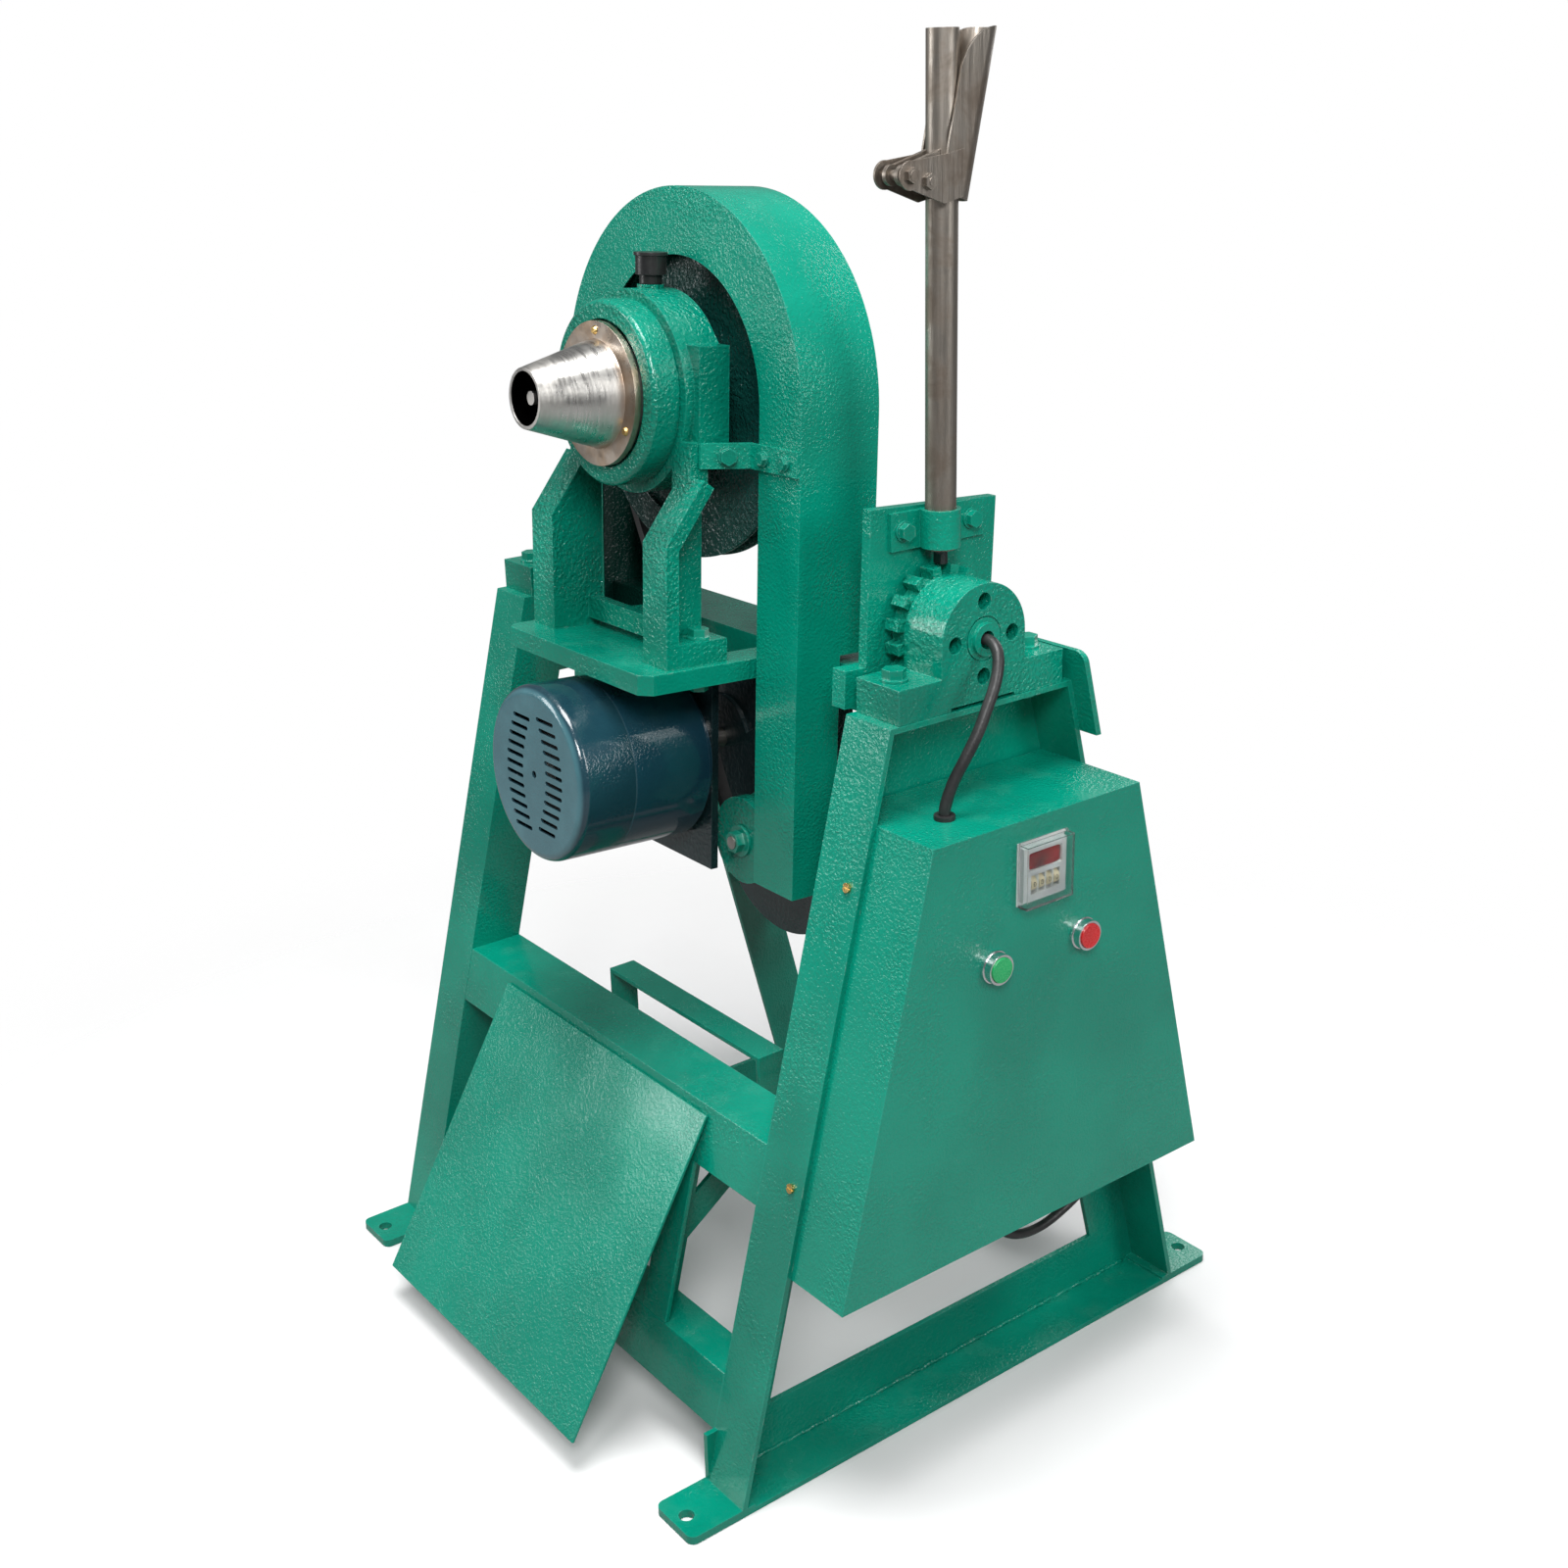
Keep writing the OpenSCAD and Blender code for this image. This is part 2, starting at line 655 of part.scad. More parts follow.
// Turned front cover that holds the front bearing
module bearing_cover() {
  edge = 3;
  color(green) in_head() difference() {
    union() {
      rod_y(ring_y0 + edge, body_y0, 0, spindle_z, ring_r);
      translate([0, ring_y0, spindle_z]) rotate([-90, 0, 0])
        cylinder(r1 = ring_r - edge, r2 = ring_r, h = edge);
    }
    rod_y(ring_y0 - 1, ring_y0 + 12, 0, spindle_z, ring_bore_r);
    rod_y(ring_y0 + 5, body_y0 + 1, 0, spindle_z, spindle_d / 2 + 2);
  }
}

// Two ball bearings: outer rings, inner rings and balls as separate solids
module spindle_bearings() {
  color(steel) in_head() for (y = [body_y0 + 0.5, tail_y1 - 6 - bearing_w - 0.5]) {
    difference() {
      rod_y(y, y + bearing_w, 0, spindle_z, bearing_od / 2);
      rod_y(y - 1, y + bearing_w + 1, 0, spindle_z, bearing_od / 2 - 7);
    }
    difference() {
      rod_y(y, y + bearing_w, 0, spindle_z, spindle_d / 2 + 8);
      rod_y(y - 1, y + bearing_w + 1, 0, spindle_z, spindle_d / 2 + bore_fit);
    }
    for (a = [0 : 45 : 315]) translate([0, y + bearing_w / 2, spindle_z]) rotate([0, a, 0])
      translate([43, 0, 0]) sphere(r = 4.9, $fn = 24);
  }
}

// Push-in oil filler cap with a wide rim
module filler_cap() {
  z = spindle_z + body_r + 3;
  color(black) in_head() {
    rod_z(z - 14, z + 0.3, 0, -116, 8);
    rod_z(z + 0.3, z + 8, 0, -116, 10);
    rod_z(z + 8, z + 24, 0, -116, 13.5);
    rod_z(z + 24, z + 27, 0, -116, 15);
  }
}

// Spindle with its front flange
module spindle_shaft() {
  color(steel) in_head() difference() {
    union() {
      rod_y(ring_y0 + 1, belt_y1 + 14, 0, spindle_z, spindle_d / 2);
      rod_y(ring_y0 - 1, ring_y0 + 4, 0, spindle_z, flange_r - 4);
    }
    rod_y(ring_y0 - 5, belt_y1 + 20, 0, spindle_z, 11);
    at_nose_screws() rod_y(-5, 8, 0, 0, 2);
  }
}

// Hollow taper and flange in one, with the draw stud in its mouth
module taper_nose() {
  y1 = ring_y0 - 1;
  y0 = y1 - 6 - nose_len;
  color(steel) in_head() {
    difference() {
      union() {
        rod_y(y1 - 6, y1, 0, spindle_z, flange_r);
        translate([0, y0, spindle_z]) rotate([-90, 0, 0])
          cylinder(r1 = nose_tip_r, r2 = nose_base_r, h = nose_len + 0.5, $fn = 96);
      }
      translate([0, y0 - 1, spindle_z]) rotate([-90, 0, 0])
        cylinder(r1 = nose_tip_r - 3, r2 = nose_tip_r - 6, h = 52);
      rod_y(y0 + 40, y1 + 1, 0, spindle_z, 11);
      at_nose_screws() rod_y(-10, 8, 0, 0, 2);
    }
    rod_y(y0 + 6, y1 + 60, 0, spindle_z, 6);
    rod_y(y0 + 49, y0 + 53, 0, spindle_z, 15);
  }
}

// Places of the three screws through the nose flange
module at_nose_screws() {
  for (a = [90, 210, 330])
    translate([screw_pcd / 2 * cos(a), ring_y0, spindle_z + screw_pcd / 2 * sin(a)]) children();
}

// Three brass screws through the nose flange
module nose_screws() {
  color(brass) in_head() at_nose_screws() translate([0, -7, 0]) rotate([90, 0, 0]) {
    difference() {
      cylinder(r1 = 4, r2 = 2.6, h = 2.4);
      translate([-5, -0.5, 1.4]) cube([10, 1, 2]);
    }
    translate([0, 0, -9]) cylinder(r = 1.9, h = 9.5);
  }
}

// V groove cut for a pulley of outer radius r
module v_groove(r) {
  translate([0, belt_mid, 0]) rotate([-90, 0, 0]) rotate_extrude($fn = 96)
    polygon([[r - 13, -5.6], [r - 13, 5.6], [r + 1, 8.2], [r + 1, -8.2]]);
}

// Large cast pulley: rim, plain web and hub
module large_pulley() {
  rim = 30;
  color(green) in_head() difference() {
    union() {
      difference() {
        rod_y(belt_y0, belt_y1, 0, spindle_z, pulley_r);
        rod_y(belt_y0 - 1, belt_y1 + 1, 0, spindle_z, pulley_r - rim);
      }
      rod_y(belt_mid - 7, belt_mid + 5, 0, spindle_z, pulley_r - rim + 2);
      rod_y(belt_y0 - 3, belt_y1 + 8, 0, spindle_z, 52);
    }
    translate([0, 0, spindle_z]) v_groove(pulley_r);
    rod_y(belt_y0 - 10, belt_y1 + 20, 0, spindle_z, spindle_d / 2 + bore_fit);
  }
}

// Unit vector at an angle
function dir(a) = [cos(a), sin(a)];

// Outline of the belt run at radii a and b about the two pulley axes
function belt_loop(a, b) =
  let (dx = out_x, dz = spindle_z - out_z, lean = atan2(dx, dz), off = asin((a - b) / norm([dx, dz])),
    left = 180 + lean + off, right = lean - off)
  concat([for (k = [0 : 48]) a * dir(right + (left - right) * k / 48) + [0, spindle_z]],
    [for (k = [0 : 24]) b * dir(left + (360 + right - left) * k / 24) + [out_x, out_z]]);

// Single V belt around both pulleys
module drive_belt() {
  color(black) in_head() xz_solid(belt_mid - belt_w / 2, belt_mid + belt_w / 2) difference() {
    polygon(belt_loop(pulley_r, small_pulley_r));
    polygon(belt_loop(pulley_r - belt_h, small_pulley_r - belt_h));
  }
}

// Plate that hangs under the base plate and carries the motor's flange
module motor_plate() {
  color(black) in_head() difference() {
    span([-80, motor_y1, motor_z - 101], [72, motor_y1 + 8, base_z - base_t]);
    rod_y(motor_y1 - 5, motor_y1 + 15, 0, motor_z, motor_spigot_r + bore_fit);
  }
}

// Motor frame with its drive-end shield and flange spigot
module motor_frame() {
  color(blue_grey) in_head() difference() {
    union() {
      rod_y(motor_split_y, motor_y1 - 8, 0, motor_z, motor_r);
      rod_y(motor_y1 - 9, motor_y1, 0, motor_z, motor_r - 8);
      rod_y(motor_y1 - 1, motor_y1 + 9, 0, motor_z, motor_spigot_r);
    }
    rod_y(motor_split_y - 1, motor_y1 - 20, 0, motor_z, motor_r - 5);
    rod_y(motor_y1 - 30, motor_y1 + 15, 0, motor_z, motor_shaft_d / 2 + bore_fit);
  }
}

// Laminated stator with its winding heads, pressed into the frame
module stator() {
  bore = 40.5;
  color(steel) in_head() difference() {
    union() {
      rod_y(-178, -134, 0, motor_z, motor_r - 5);
      rod_y(-186, -126, 0, motor_z, motor_r - 12);
    }
    rod_y(-190, -120, 0, motor_z, bore);
  }
}

// Pressed fan cover with rounded slots on its face
module fan_cover() {
  edge = 9;
  color(blue_grey) in_head() difference() {
    union() {
      rod_y(motor_y0 + edge, motor_split_y, 0, motor_z, motor_r);
      translate([0, motor_y0, motor_z]) rotate([-90, 0, 0]) rotate_extrude($fn = 96) union() {
        square([motor_r - edge, edge + 1]);
        translate([0, edge]) square([motor_r, 1]);
        intersection() {
          translate([motor_r - edge, edge]) circle(r = edge);
          square([motor_r, edge + 0.5]);
        }
      }
    }
    rod_y(motor_y0 + 2, motor_split_y + 1, 0, motor_z, motor_r - edge);
    rod_y(motor_y0 + edge + 3, motor_split_y + 1, 0, motor_z, motor_r - 1.5);
    rod_y(motor_y0 - 1, motor_y0 + 5, 0, motor_z, 3.5);
    for (side = [-1, 1], i = [-6 : 5]) fan_slot(side, i);
  }
}

// One slot of the fan cover; rows run down both sides and follow the rim
module fan_slot(side, i) {
  r = 1.9;
  z = motor_z + (i + 0.5) * 9.4 + side * 2;
  half = 12.5;
  mid = side * (16 + 18 * cos((i + 0.5) * 14));
  for (x = [mid - half, mid + half]) rod_y(motor_y0 - 1, motor_y0 + 5, x, z, r);
  span([mid - half, motor_y0 - 1, z - r], [mid + half, motor_y0 + 5, z + r]);
}

// Rotor core on its shaft, with the pinion at the far end
module motor_rotor() {
  color(steel) in_head() {
    rod_y(-228, case_y1 - case_wall - 1, 0, motor_z, motor_shaft_d / 2);
    rod_y(-178, -134, 0, motor_z, 40);
    gear(pinion_teeth, 0, motor_z, 0);
  }
}

// Spur gear with straight-sided teeth and working backlash
module gear(teeth, x, z, turn) {
  pitch_r = teeth * module_mm / 2;
  xz_solid(gear_y0, gear_y1) translate([x, z]) rotate(turn)
    polygon([for (i = [0 : teeth - 1], q = [[-0.30, -3.4], [-0.13, 2], [0.13, 2], [0.30, -3.4]])
      (pitch_r + q[1]) * dir(360 * (i + q[0]) / teeth)]);
}

// Radial fan behind the cover
module cooling_fan() {
  color(black) in_head() difference() {
    union() {
      rod_y(-222, -219, 0, motor_z, 62);
      rod_y(-222, -204, 0, motor_z, 16);
      for (a = [0 : 45 : 315]) translate([0, -219.5, motor_z]) rotate([0, a, 0])
        translate([10, 0, -1.2]) cube([50, 15, 2.4]);
    }
    rod_y(-230, -200, 0, motor_z, motor_shaft_d / 2 + bore_fit);
  }
}

// Reducer case behind the guard: pinion and gear chambers, hung from the cross beam
module gear_case() {
  big_r = gear_teeth * module_mm / 2 + 5;
  small_r = pinion_teeth * module_mm / 2 + 8;
  color(black) in_head() difference() {
    union() {
      rod_y(case_y0, case_y1, out_x, out_z, big_r + case_wall);
      rod_y(case_y0, case_y1, 0, motor_z, small_r + case_wall);
      span([-34, case_y0 + 4, motor_z], [150, case_y1, beam_z0]);
    }
    rod_y(case_y0 + case_wall, case_y1 - case_wall, out_x, out_z, big_r);
    rod_y(case_y0 + case_wall, case_y1 - case_wall, 0, motor_z, small_r);
    rod_y(case_y0 - 1, case_y0 + case_wall + 1, 0, motor_z, motor_shaft_d / 2 + bore_fit);
    rod_y(case_y0 - 1, case_y1 + 1, out_x, out_z, out_shaft_d / 2 + bore_fit);
  }
}

module output_gear() {
  mesh = atan2(out_z - motor_z, out_x);
  pitch = 360 / pinion_teeth;
  phase = mesh - floor(mesh / pitch) * pitch;
  color(steel) in_head() difference() {
    gear(gear_teeth, out_x, out_z, mesh + 180 + (phase * pinion_teeth + 180) / gear_teeth);
    rod_y(case_y0, case_y1, out_x, out_z, out_shaft_d / 2 + bore_fit);
  }
}
module output_shaft() {
  color(steel) in_head() {
    rod_y(belt_y0 - 5, case_y1 + 3, out_x, out_z, out_shaft_d / 2);
    rod_y(nut_y - 12, belt_y0, out_x, out_z, 6);
  }
}

// Small pulley with a plain front face
module small_pulley() {
  color(green) in_head() difference() {
    rod_y(nut_y, belt_y1, out_x, out_z, small_pulley_r);
    translate([out_x, 0, out_z]) v_groove(small_pulley_r);
    rod_y(nut_y + 3, belt_y1 + 10, out_x, out_z, out_shaft_d / 2 + bore_fit);
    rod_y(nut_y - 1, belt_y1, out_x, out_z, 6 + bore_fit);
  }
}

// Washer and nut on the end of the output shaft
module pulley_nut() {
  washer = 3;
  color(green) in_head() difference() {
    union() {
      rod_y(nut_y - washer, nut_y, out_x, out_z, 15);
      translate([out_x, nut_y - washer - 8, out_z]) rotate([-90, 0, 0])
        cylinder(d = 18 / cos(30), h = 8.5, $fn = 6);
    }
    rod_y(nut_y - 16, nut_y + 1, out_x, out_z, 6 + bore_fit);
  }
}

// ---------- lever and latch ----------

// Lever tube: slot for the latch's tongue, seat for its spring and two lugs for the grip
module lever_tube() {
  lug = [[-9, pivot_z + 4], [-9, pivot_z + 18], [pivot_y + 2, pivot_z + 8], [pivot_y, pivot_z],
    [pivot_y + 7.5, pivot_z], [pivot_y + 13, pivot_z + 3.5]];
  color(bare) {
    difference() {
      rod_z(tube_z0, tube_z1, tube_x, 0, tube_d / 2);
      rod_z(tube_z0 - 1, tube_z1 + 1, tube_x, 0, tube_bore / 2);
      span([tube_x - 3.2, -tube_d, pin_z - 14], [tube_x + 3.2, 0, pin_z + 16]);
    }
    difference() {
      rod_z(seat_z, seat_z + 5, tube_x, 0, tube_bore / 2 + 1);
      rod_z(seat_z - 1, seat_z + 6, tube_x, 0, latch_d / 2 + fit);
    }
    for (x = [tube_x - 9, tube_x + 5]) difference() {
      union() {
        yz_plate(x, x + 4, lug);
        rod_x(x, x + 4, pivot_y, pivot_z, 8);
      }
      rod_x(x - 1, x + 5, pivot_y, pivot_z, pivot_r + bore_fit);
    }
  }
}

// Saddle clamp that holds the tube against the lever cheek
module lever_clamp() {
  z1 = tube_z0 + 34;
  r = tube_d / 2;
  color(green) difference() {
    union() {
      rod_z(tube_z0 + 2, z1, tube_x, 0, r + clamp_t);
      span([cheek_x1, clamp_ends[0], tube_z0 + 2], [cheek_x1 + clamp_t, clamp_ends[1], z1]);
    }
    rod_z(tube_z0, z1 + 2, tube_x, 0, r + fit);
    span([cheek_x1 - 20, -60, tube_z0], [cheek_x1, 60, z1 + 2]);
    at_clamp_bolts() rod_x(cheek_x1 - 20, cheek_x1 + 20, 0, 0, 4 + bolt_fit);
  }
}

// Latch rod: flattened nose, two guide collars and the tongue that the grip's pin lifts
module latch_rod() {
  nose_z = tilt_z + index_r + 0.6;
  guide_r = tube_bore / 2 - 0.2;
  color(black) difference() {
    union() {
      rod_z(nose_z, pin_z + 6, tube_x, 0, latch_d / 2);
      rod_z(collar_z, collar_z + collar_h, tube_x, 0, guide_r);
      rod_z(pin_z - 60, pin_z - 48, tube_x, 0, guide_r);
      span([tube_x - 2.5, pin_y - 7, pin_z - 6], [tube_x + 2.5, 0, pin_z + 6]);
    }
    span([tube_x - 9, latch_nose / 2, nose_z - 1], [tube_x + 9, 9, nose_z + 9]);
    span([tube_x - 9, -9, nose_z - 1], [tube_x + 9, -latch_nose / 2, nose_z + 9]);
    for (y = [pin_y - 1.5, pin_y + 1]) rod_x(tube_x - 5, tube_x + 5, y, pin_z, pin_r + 0.6);
  }
}

// Compression spring between the lower collar and the seat in the tube
module latch_spring() {
  n = 10;
  coil_r = (latch_d + tube_bore) / 4;
  z0 = collar_z + collar_h + spring_wire / 2 + fit;
  pts = [for (i = [0 : spring_turns * n]) [tube_x + coil_r * cos(360 * i / n), coil_r * sin(360 * i / n),
    z0 + spring_pitch * i / n]];
  color(bare) swept(pts, spring_wire / 2, 6, [0, 0, 1]);
}

// Squeeze grip: deep U channel that leans away from the tube, its ears, pivot bolt and pin
module grip_channel() {
  scoop_h = 44;
  proud = 0.3;
  inner = grip_r - grip_wall;
  ear = [[pivot_y, pivot_z - 10], [pivot_y, pivot_z + 10.6], [-6, pivot_z + 15], [9, pivot_z + 18],
    [8, grip_z0 + 1], [-12, grip_z0 - 3]];
  scoop = concat([for (a = [0 : 7.5 : 90])
    [grip_r - (grip_r + 22.5) * cos(a), grip_len - scoop_h * (1 - sin(a))]],
    [[grip_r + 1, grip_len + 1], [-grip_r - 20, grip_len + 1], [-grip_r - 20, grip_len - scoop_h]]);
  color(bare) {
    translate([tube_x, 6.3, grip_z0]) rotate([-grip_lean, 0, 0]) difference() {
      linear_extrude(grip_len) u_outline(grip_r);
      translate([0, 0, -1]) linear_extrude(grip_len + 2) u_outline(inner);
      yz_plate(-grip_r - 1, grip_r + 1, scoop);
    }
    for (x = [tube_x - grip_r - proud, tube_x + inner + proud]) {
      yz_plate(x, x + grip_wall, ear);
      rod_x(x, x + grip_wall, pivot_y, pivot_z, 11);
    }
    grip_bolt(pivot_y, pivot_z, pivot_r);
    grip_bolt(pin_y, pin_z, pin_r);
  }
}

// Half circle to the rear with straight sides to the front
module u_outline(r) {
  circle(r = r);
  translate([-r, -22]) square([2 * r, 22]);
}

// Bolt right through the grip, with a hexagon head on each side
module grip_bolt(y, z, r) {
  rod_x(tube_x - grip_r - 5, tube_x + grip_r + 5, y, z, r);
  for (x = [tube_x - grip_r - 4.5, tube_x + grip_r - 1]) translate([x, y, z]) rotate([0, 90, 0])
    cylinder(d = 11 / cos(30), h = 5.5, $fn = 6);
}

// ---------- control box ----------

function box_y(z) = leg_y(z) - flange - box_gap;

// Outline of the box in y and z, drawn in by d on every side
function box_outline(d) = [[d - box_y(box_z0), box_z0 + d], [d - box_y(box_z1), box_z1 - d],
  [box_y(box_z1) - d, box_z1 - d], [box_y(box_z0) - d, box_z0 + d]];

// Places of the four screws that hold the box to the legs, Z pointing out of the leg
module at_box_screws() {
  for (s = [-1, 1], z = screw_zs)
    translate([screw_x, s * leg_y(z), z]) rotate([-s * (90 - leg_lean), 0, 0]) children();
}

// Folded box, open towards the stand, with cut-outs for what it carries
module control_box() {
  cut = timer_half - 1.4;
  color(green) difference() {
    yz_plate(box_x0, box_x1, box_outline(0));
    yz_plate(box_x0 - 1, box_x1 - box_t, box_outline(box_t));
    for (s = [-1, 1]) rod_x(box_x1 - 10, box_x1 + 10, s * button_y, button_z, button_r + 0.2);
    span([box_x1 - 10, -cut, timer_z - cut], [box_x1 + 10, cut, timer_z + cut]);
    rod_z(box_z1 - 10, box_z1 + 10, lead_hole[0], lead_hole[1], 7.2);
    for (p = loop_holes) rod_z(box_z0 - 10, box_z0 + 10, p[0], p[1], 7.2);
    at_box_screws() rod_z(-flange - box_t - 4, 1, 0, 0, 2 + bolt_fit);
  }
}

// Flat plate that closes the box on the stand's side
module box_back_plate() {
  color(green) yz_plate(box_x0 + 1, box_x0 + 2.6, box_outline(box_t + 4));
}

// Brass screws that hold the box to the legs, front and rear
module box_screws() {
  color(brass) at_box_screws() {
    difference() {
      cylinder(r = 4.2, h = 2.6);
      translate([-6, -0.6, 1.4]) cube([12, 1.2, 2]);
    }
    rod_z(-flange - box_t - 3, 0.1, 0, 0, 2);
  }
}

// Contactor and terminal strip on the back plate
module contactor() {
  x = box_x0 + 2.6;
  color(black) {
    span([x, -35, 380], [x + 62, 15, 460]);
    span([x + 62, -28, 390], [x + 74, 8, 450]);
    span([x, -60, 330], [x + 22, 60, 350]);
    for (y = [-50 : 12 : 50]) span([x + 22, y, 333], [x + 28, y + 8, 347]);
  }
}

// Push button: cap in front of the panel and its plunger behind
module button_cap(y) {
  rod_x(box_x1 + 4.5, box_x1 + 12, y, button_z, button_r);
  rod_x(box_x1 - 18, box_x1 + 5, y, button_z, 5);
}
module start_button() { color("#1fae5c") button_cap(-button_y); }
module stop_button() { color("#d8232a") button_cap(button_y); }

// Chromed bezels with the switch bodies behind them
module button_bezels() {
  x = box_x1;
  color("#d7dadb") for (s = [-1, 1]) translate([0, s * button_y, button_z]) {
    difference() {
      union() {
        rod_x(x, x + 3, 0, 0, bezel_d / 2);
        rod_x(x + 3, x + 10.5, 0, 0, bezel_d / 2 - 1);
        rod_x(x - 18, x + 1, 0, 0, button_r);
        span([x - 45, -14, -17], [x - 17, 14, 17]);
      }
      rod_x(x + 0.4, x + 20, 0, 0, button_r + fit);
      rod_x(x - 24, x + 20, 0, 0, 5 + fit);
    }
  }
}

// Timer: body through the panel, square bezel, display window and bay for the wheels
module timer_case() {
  h = timer_half;
  color(black) difference() {
    union() {
      span([box_x1 - 50, 1.6 - h, timer_z + 1.6 - h], [box_x1, h - 1.6, timer_z + h - 1.6]);
      span([box_x1, -h - 3, timer_z - h - 4], [box_x1 + 1.5, h + 3, timer_z + h + 4]);
      span([box_x1, -h, timer_z - h], [box_x1 + 6, h, timer_z + h]);
    }
    span([box_x1 + 4.5, 5 - h, timer_z + 3], [box_x1 + 7, h - 5, timer_z + h - 5]);
    for (i = [0 : 3]) translate([0, wheel_y(i), timer_z - 9.5])
      span([box_x1 - 8, -3.4, -8.2], [box_x1 + 7, 3.4, 8.2]);
  }
  color(black) rod_y(3 - h, h - 3, box_x1, timer_z - 9.5, 1.5);
}
function wheel_y(i) = (i - 1.5) * wheel_step;

// Clear cover hinged along its top edge
module timer_cover() {
  half = timer_half + 3;
  wall = 1.6;
  x0 = box_x1 + 1.8;
  x1 = box_x1 + 13;
  z0 = timer_z - timer_half - 4;
  z1 = timer_z + timer_half + 4;
  color([0.85, 0.9, 0.9, 0.4]) {
    difference() {
      span([x0, -half, z0], [x1, half, z1]);
      span([x0 - 1, wall - half, z0 + wall], [x1 - wall, half - wall, z1 - wall]);
    }
    rod_y(-half, half, x0 + 1.8, z1, 1.8);
  }
}

// Numbered thumbwheel i of the timer
module thumbwheel(i) {
  color("#d9cfae") difference() {
    rod_y(wheel_y(i) - 3, wheel_y(i) + 3, box_x1, timer_z - 9.5, 7);
    rod_y(wheel_y(i) - 4, wheel_y(i) + 4, box_x1, timer_z - 9.5, 1.5 + bore_fit);
  }
}
module thumbwheel_1() { thumbwheel(0); }
module thumbwheel_2() { thumbwheel(1); }
module thumbwheel_3() { thumbwheel(2); }
module thumbwheel_4() { thumbwheel(3); }

// Rubber grommet in a level sheet whose outer face is at z
module grommet(p, z, side, cable_d) {
  difference() {
    union() {
      rod_z(min(z, z + side * 4), max(z, z + side * 4), p[0], p[1], 9);
      rod_z(min(z, z - side * 5), max(z, z - side * 5), p[0], p[1], 7);
    }
    rod_z(z - 8, z + 8, p[0], p[1], cable_d / 2 + 0.2);
  }
}
module box_grommets() {
  color(black) {
    grommet(lead_hole, box_z1, 1, lead_d);
    for (p = loop_holes) grommet(p, box_z0, -1, loop_d);
  }
}

module head_lead() { color(black) swept(lead_pts, lead_d / 2, 8, [0.3, 1, -0.6]); }
module supply_loop() { color(black) swept(loop_pts, loop_d / 2, 8, [1, 0, 0]); }

side_frame_right();
side_frame_left();
crossbars();
front_lower_bar();
posts();
strap_stay();
chute_plate();
rear_stop_plate();
pillow_block_right();
pillow_block_left();
index_wheel();
block_bolts();
head_base();
lever_cheek();
plain_cheek();
trunnions();
belt_guard();
guard_straps();
bearing_pedestal();
head_bolts();
bearing_cover();
spindle_bearings();
filler_cap();
spindle_shaft();
taper_nose();
nose_screws();
large_pulley();
drive_belt();
motor_plate();
motor_frame();
stator();
fan_cover();
motor_rotor();
cooling_fan();
gear_case();
output_gear();
output_shaft();
small_pulley();
pulley_nut();
lever_tube();
lever_clamp();
latch_rod();
latch_spring();
grip_channel();
control_box();
box_back_plate();
box_screws();
contactor();
start_button();
stop_button();
button_bezels();
timer_case();
timer_cover();
thumbwheel_1();
thumbwheel_2();
thumbwheel_3();
thumbwheel_4();
box_grommets();
head_lead();
supply_loop();
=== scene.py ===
import math

import bpy
import numpy as np
from mathutils import Matrix, Vector


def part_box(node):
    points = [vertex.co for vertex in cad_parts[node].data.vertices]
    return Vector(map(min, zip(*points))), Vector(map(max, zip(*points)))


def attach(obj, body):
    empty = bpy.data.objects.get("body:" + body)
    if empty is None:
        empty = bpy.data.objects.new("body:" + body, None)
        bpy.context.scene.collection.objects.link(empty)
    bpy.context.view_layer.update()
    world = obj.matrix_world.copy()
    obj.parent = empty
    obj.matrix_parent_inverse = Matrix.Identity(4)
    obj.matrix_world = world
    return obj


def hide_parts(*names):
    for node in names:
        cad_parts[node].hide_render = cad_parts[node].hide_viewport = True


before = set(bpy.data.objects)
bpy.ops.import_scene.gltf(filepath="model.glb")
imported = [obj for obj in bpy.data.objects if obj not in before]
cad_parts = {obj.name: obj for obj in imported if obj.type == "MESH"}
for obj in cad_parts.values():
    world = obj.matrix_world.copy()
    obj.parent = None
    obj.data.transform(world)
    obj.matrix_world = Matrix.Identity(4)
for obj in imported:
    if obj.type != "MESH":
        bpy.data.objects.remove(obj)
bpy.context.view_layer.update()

# Lengths are in metres. Heights on the head are above its tilt axis, with the head upright.
TILT_Z = 0.745
HEAD_LEAN = math.radians(3)
SPINDLE_UP = 0.177
ARCH_UP = 0.168
GUARD_HALF = 0.182
GUARD_INSIDE = GUARD_HALF - 0.001
GUARD_INSIDE_Y = (-0.0890, -0.0070)
FLANGE_Y = (-0.182, -0.1735)
NOSE_BORE_R, STUD_R, NOSE_MOUTH_Y = 0.0236, 0.0064, -0.2440
SHARP_ANGLE = math.radians(38)


# ---------- camera ----------

CAMERA_PLACE = (1.404268, -1.034457, 1.167045)
CAMERA_AZIMUTH, CAMERA_HEIGHT, CAMERA_ROLL = 52.86, 20.066, -1.502
LENS_MM, SENSOR_MM, NEAREST = 43.05, 36, 0.02


